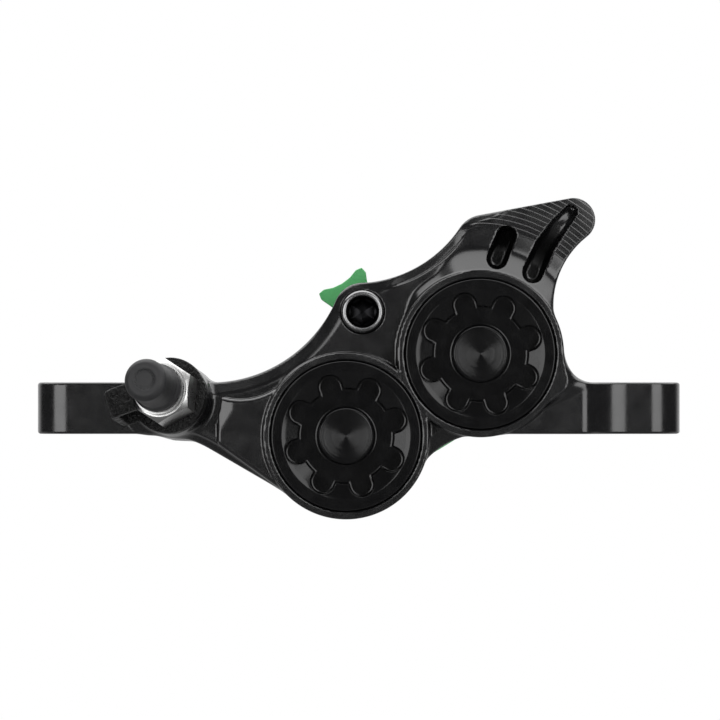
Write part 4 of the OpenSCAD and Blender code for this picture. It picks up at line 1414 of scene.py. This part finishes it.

# %% [markdown]
# The rubber tether is a strap that leaves a ring under the nipple's hex, bends outwards and comes back to
# hold the dust cap. It follows a path, so it is swept along a curve. The real strap stretches when the cap is
# pulled off.

# %% The tether
aside = np.cross([0, 0, 1], nipple_axis)
aside /= np.linalg.norm(aside)
upward = np.cross(nipple_axis, aside)
tether_angle = math.radians(200)
tether_out = math.cos(tether_angle) * aside + math.sin(tether_angle) * upward
tether_width = np.cross(nipple_axis, tether_out)


def on_nipple(out, height):
    return nipple_base + out * tether_out + height * nipple_axis


def tether_tree(finish):
    tree, given, result = group_tree(
        "Strap along a path", "GeometryNodeTree",
        {
            "Path": ("NodeSocketGeometry", None), "Width": ("NodeSocketFloat", 0.0036),
            "Thickness": ("NodeSocketFloat", 0.0012), "Corner": ("NodeSocketFloat", 0.0004),
            "Across": ("NodeSocketVector", None),
        },
        {"Strap": "NodeSocketGeometry"},
    )
    curve = add(tree, "GeometryNodeMeshToCurve", {"Mesh": given["Path"]})
    held = add(tree, "GeometryNodeSetCurveNormal",
               {"Curve": curve.outputs["Curve"], "Normal": given["Across"]}, mode="FREE")
    section = rounded_section(tree, given["Width"], given["Thickness"], given["Corner"], 4)
    swept = add(tree, "GeometryNodeCurveToMesh", {
        "Curve": held.outputs["Curve"], "Profile Curve": section, "Fill Caps": True,
    })
    return end_shape(tree, swept.outputs["Mesh"], finish, result["Strap"])


def bent_path(corners, r, count=8):
    """A path through these corners, each rounded with radius r."""
    spots = [corners[0]]
    for before, here, after in zip(corners, corners[1:], corners[2:]):
        a, b = np.subtract(before, here), np.subtract(after, here)
        a, b = a / np.linalg.norm(a), b / np.linalg.norm(b)
        for t in np.linspace(0, 1, count):
            spots.append(here + r * ((1 - t) ** 2 * a + t**2 * b))
    return [*spots, corners[-1]]


strap_out, strap_low, strap_top = 6.9, 0.5, 7.0
strap_from, strap_to = 4.0, 3.6
strap_corners = [(strap_from, strap_low), (strap_out, strap_low)]
strap_corners += [(strap_out, strap_top), (strap_to, strap_top)]
strap_line = bent_path([on_nipple(*p) for p in strap_corners], 1.0)
path_spots = [tuple(np.array(p) * MM) for p in strap_line]
path_edges = [(k, k + 1) for k in range(len(path_spots) - 1)]
path_mesh = bpy.data.meshes.new("tether path")
path_mesh.from_pydata(path_spots, path_edges, [])
strap = run_tree("tether_strap", tether_tree(finishes["tether rubber"]), {
    "Width": 4.0 * MM, "Thickness": 1.15 * MM, "Corner": 0.35 * MM, "Across": tuple(tether_width),
}, path_mesh)
tidy(strap)
size = np.ptp(np.array([v.co for v in strap.data.vertices]), axis=0) / MM
print("tether strap spans", np.round(size, 1), "mm")

# %% The tether's ring
def turned(name, profile, place, axis, spokes=96):
    """A piece turned around an axis from a closed profile of (radius, height) points."""
    turn = Vector(axis).to_track_quat("Z", "Y").to_matrix()
    spots = []
    for r, height in profile:
        for a in np.arange(spokes) * math.tau / spokes:
            spots.append(np.array(turn @ Vector((r * math.cos(a), r * math.sin(a), height))) + place)
    mesh = mesh_from(name, np.array(spots), ring_faces(len(profile), spokes, closed=True))
    return tidy(piece(name, mesh))


ring_r = nipple_boss_r + 0.1
ring_profile = [(3.15, 0.15), (3.25, 0.05), (ring_r - 0.2, 0.05), (ring_r - 0.05, 0.15), (ring_r, 0.3),
                (ring_r, 0.75), (ring_r - 0.08, 0.92), (ring_r - 0.25, 0.98), (3.3, 0.98), (3.15, 0.85)]
tether_ring = turned("tether_ring", ring_profile, nipple_base, nipple_axis)
shape = bmesh.new()
for part in (strap, tether_ring):
    shape.from_mesh(part.data)
tether_mesh = bpy.data.meshes.new("tether")
shape.to_mesh(tether_mesh)
shape.free()
for part in (strap, tether_ring):
    bpy.data.objects.remove(part)
tether = piece("tether", tether_mesh)
tether_mesh.materials.clear()
tether_mesh.materials.append(finishes["tether rubber"])
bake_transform(tether)
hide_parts("dust_cap_tether")
print("tether:", len(tether_mesh.polygons), "faces")

# %% [markdown]
# The hose port on the inboard side is an open threaded hole. Its thread is a ridge that winds down the wall,
# again a section along a path: a spiral.

# %% The port's thread
def thread_tree(finish):
    tree, given, result = group_tree(
        "Thread", "GeometryNodeTree",
        {
            "Radius": ("NodeSocketFloat", 0.0034), "Turns": ("NodeSocketFloat", 6.0),
            "Depth": ("NodeSocketFloat", 0.006), "Ridge": ("NodeSocketFloat", 0.0004),
            "Centre": ("NodeSocketVector", None),
        },
        {"Ridge": "NodeSocketGeometry"},
    )
    path = add(tree, "GeometryNodeCurveSpiral", {
        "Resolution": 48, "Rotations": given["Turns"], "Start Radius": given["Radius"],
        "End Radius": given["Radius"], "Height": given["Depth"],
    })
    section = add(tree, "GeometryNodeCurvePrimitiveCircle", {"Resolution": 6, "Radius": given["Ridge"]})
    swept = add(tree, "GeometryNodeCurveToMesh", {
        "Curve": path.outputs["Curve"], "Profile Curve": section.outputs["Curve"], "Fill Caps": True,
    })
    placed = add(tree, "GeometryNodeTransform", {
        "Geometry": swept.outputs["Mesh"], "Translation": given["Centre"],
    })
    return end_shape(tree, placed.outputs["Geometry"], finish, result["Ridge"])


thread = run_tree("port_thread", thread_tree(body_finish), {
    "Radius": 3.55 * MM, "Turns": 6.0, "Depth": 5.6 * MM, "Ridge": 0.42 * MM,
    "Centre": (port[0] * MM, port[1] * MM, (port[2] - 6.4) * MM),
})
dress(tidy(thread), body_finish, "caliper", "body_anodised")
print("port thread:", len(thread.data.polygons), "faces")

# %% [markdown]
# The photograph is a studio picture on white: two soft boxes stand left and right of the camera, one hangs
# above and behind, and a white sheet fills the back. Faces turned to the camera mirror the dim room behind
# it, so they stay nearly black, and rounded edges catch the boxes. The world gives the white sheet to the
# camera and a dim room with a bright back to reflections.

# %% World
scene = bpy.context.scene
scene.view_settings.view_transform = "Standard"
world = bpy.data.worlds.new("studio")
scene.world = world
world.use_nodes = True
sky = world.node_tree
sky.nodes.clear()
rays = add(sky, "ShaderNodeLightPath").outputs
way = add(sky, "ShaderNodeSeparateXYZ", {0: add(sky, "ShaderNodeTexCoord").outputs["Generated"]}).outputs
dim_room, white_back, soft_fill = 0.07, 1.0, 0.35
back_from, back_whole = 0.4, 0.85
back = add(sky, "ShaderNodeMapRange", {
    "Value": way["Y"], "From Min": back_from, "From Max": back_whole,
    "To Min": dim_room, "To Max": white_back,
}, interpolation_type="SMOOTHSTEP").outputs["Result"]
mirrored = math_node(sky, "MAXIMUM", rays["Is Glossy Ray"], rays["Is Transmission Ray"])
lit = add(sky, "ShaderNodeMix", {"Factor": mirrored, "A": soft_fill, "B": back}, data_type="FLOAT")
seen = add(sky, "ShaderNodeMix", {
    "Factor": rays["Is Camera Ray"], "A": lit.outputs["Result"], "B": white_back,
}, data_type="FLOAT")
glow = add(sky, "ShaderNodeBackground", {"Color": (1, 1, 1, 1), "Strength": seen.outputs["Result"]})
add(sky, "ShaderNodeOutputWorld", {"Surface": glow.outputs["Background"]})
print("world:", len(sky.nodes), "nodes")

# %% Soft boxes
aim = Vector((0.002, 0.0, 0.010))


def soft_box(name, azimuth, elevation, distance, width, height, radiance, aside=0.0):
    """An area lamp that looks at the object. Azimuth 0 is the camera's side, positive to the right."""
    lamp = bpy.data.lights.new(name, "AREA")
    lamp.shape = "RECTANGLE"
    lamp.size, lamp.size_y = width, height
    lamp.energy = radiance * math.pi * width * height
    a, e = math.radians(azimuth), math.radians(elevation)
    away = Vector((math.sin(a) * math.cos(e), -math.cos(a) * math.cos(e), math.sin(e)))
    made = bpy.data.objects.new(name, lamp)
    made.location = aim + distance * away + Vector((aside, 0, 0))
    made.rotation_euler = (-away).to_track_quat("-Z", "Y").to_euler()
    scene.collection.objects.link(made)
    return made


# Each row: azimuth, elevation, distance, width, height, radiance, and for one a shift to the right.
boxes = [
    soft_box("left box", -33, -8, 0.75, 0.6, 0.8, 3.2),
    soft_box("right box", 30, 10, 0.75, 0.5, 0.7, 3.0),
    soft_box("top box", 180, 76, 0.8, 2.2, 1.1, 2.6, 0.1),
]
print("lamps:", [(b.name, round(b.data.energy, 2)) for b in boxes])

# %% The floor
floor_z = -45 * MM
floor_r = 0.28
floor_mesh = bpy.data.meshes.new("floor")
shape = bmesh.new()
bmesh.ops.create_circle(shape, cap_ends=True, radius=floor_r, segments=96)
bmesh.ops.translate(shape, verts=shape.verts, vec=(0, 0, floor_z))
shape.to_mesh(floor_mesh)
shape.free()
floor = piece("floor", floor_mesh)
paper = bpy.data.materials.new("white paper")
paper.use_nodes = True
tree = paper.node_tree
shader = tree.nodes["Principled BSDF"]
shader.inputs["Base Color"].default_value = (0.86, 0.86, 0.86, 1)
shader.inputs["Roughness"].default_value = 0.9
white = add(tree, "ShaderNodeEmission", {"Strength": 1.0})
spot = add(tree, "ShaderNodeTexCoord").outputs["Object"]
spread = add(tree, "ShaderNodeVectorMath", {0: spot}, operation="LENGTH")
fade = add(tree, "ShaderNodeMapRange", {
    "Value": spread.outputs["Value"], "From Min": 0.06, "From Max": 0.25, "To Min": 0.55, "To Max": 1.0,
}, interpolation_type="SMOOTHSTEP")
rays = add(tree, "ShaderNodeLightPath").outputs
for_camera = math_node(tree, "MULTIPLY", fade.outputs["Result"], rays["Is Camera Ray"])
# In reflections the floor does not show its lit paper. It glows instead, dimmer in front of the object and
# brighter behind it: a painted reflection.
reach = add(tree, "ShaderNodeSeparateXYZ", {0: spot}).outputs["Y"]
behind = add(tree, "ShaderNodeMapRange", {
    "Value": reach, "From Min": -0.03, "From Max": 0.02, "To Min": 0.18, "To Max": 0.5,
}, interpolation_type="SMOOTHSTEP")
painted_reflection_glow = add(tree, "ShaderNodeEmission", {"Strength": behind.outputs["Result"]})
mirrored = add(tree, "ShaderNodeMixShader", {
    0: rays["Is Glossy Ray"], 1: shader.outputs["BSDF"], 2: painted_reflection_glow.outputs["Emission"],
})
mixed = add(tree, "ShaderNodeMixShader", {
    0: for_camera, 1: mirrored.outputs["Shader"], 2: white.outputs["Emission"],
})
tree.links.new(mixed.outputs["Shader"], tree.nodes["Material Output"].inputs["Surface"])
floor_mesh.materials.append(paper)
floor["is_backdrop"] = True
print("floor at", floor_z / MM, "mm")

# %% [markdown]
# The camera looks straight at the outboard side along the axle, level, from far away with a long lens, as for
# a catalogue picture.

# %% Camera
field_mm = 99.3
frame_centre = (0.17, 10.2)
distance_mm = 2000.0
sensor_mm = 36
camera = bpy.data.objects.new("camera", bpy.data.cameras.new("camera"))
camera.location = (frame_centre[0] * MM, (-ear_half - distance_mm) * MM, frame_centre[1] * MM)
camera.rotation_euler = (math.pi / 2, 0, 0)
camera.data.sensor_width = sensor_mm
camera.data.lens = sensor_mm * distance_mm / field_mm
camera.data.clip_end = 20
scene.collection.objects.link(camera)
scene.camera = camera
print("lens:", round(camera.data.lens), "mm")

# %% Sizes and the end
low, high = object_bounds()
print("visual box in mm:", [round(v / MM, 1) for v in high - low])
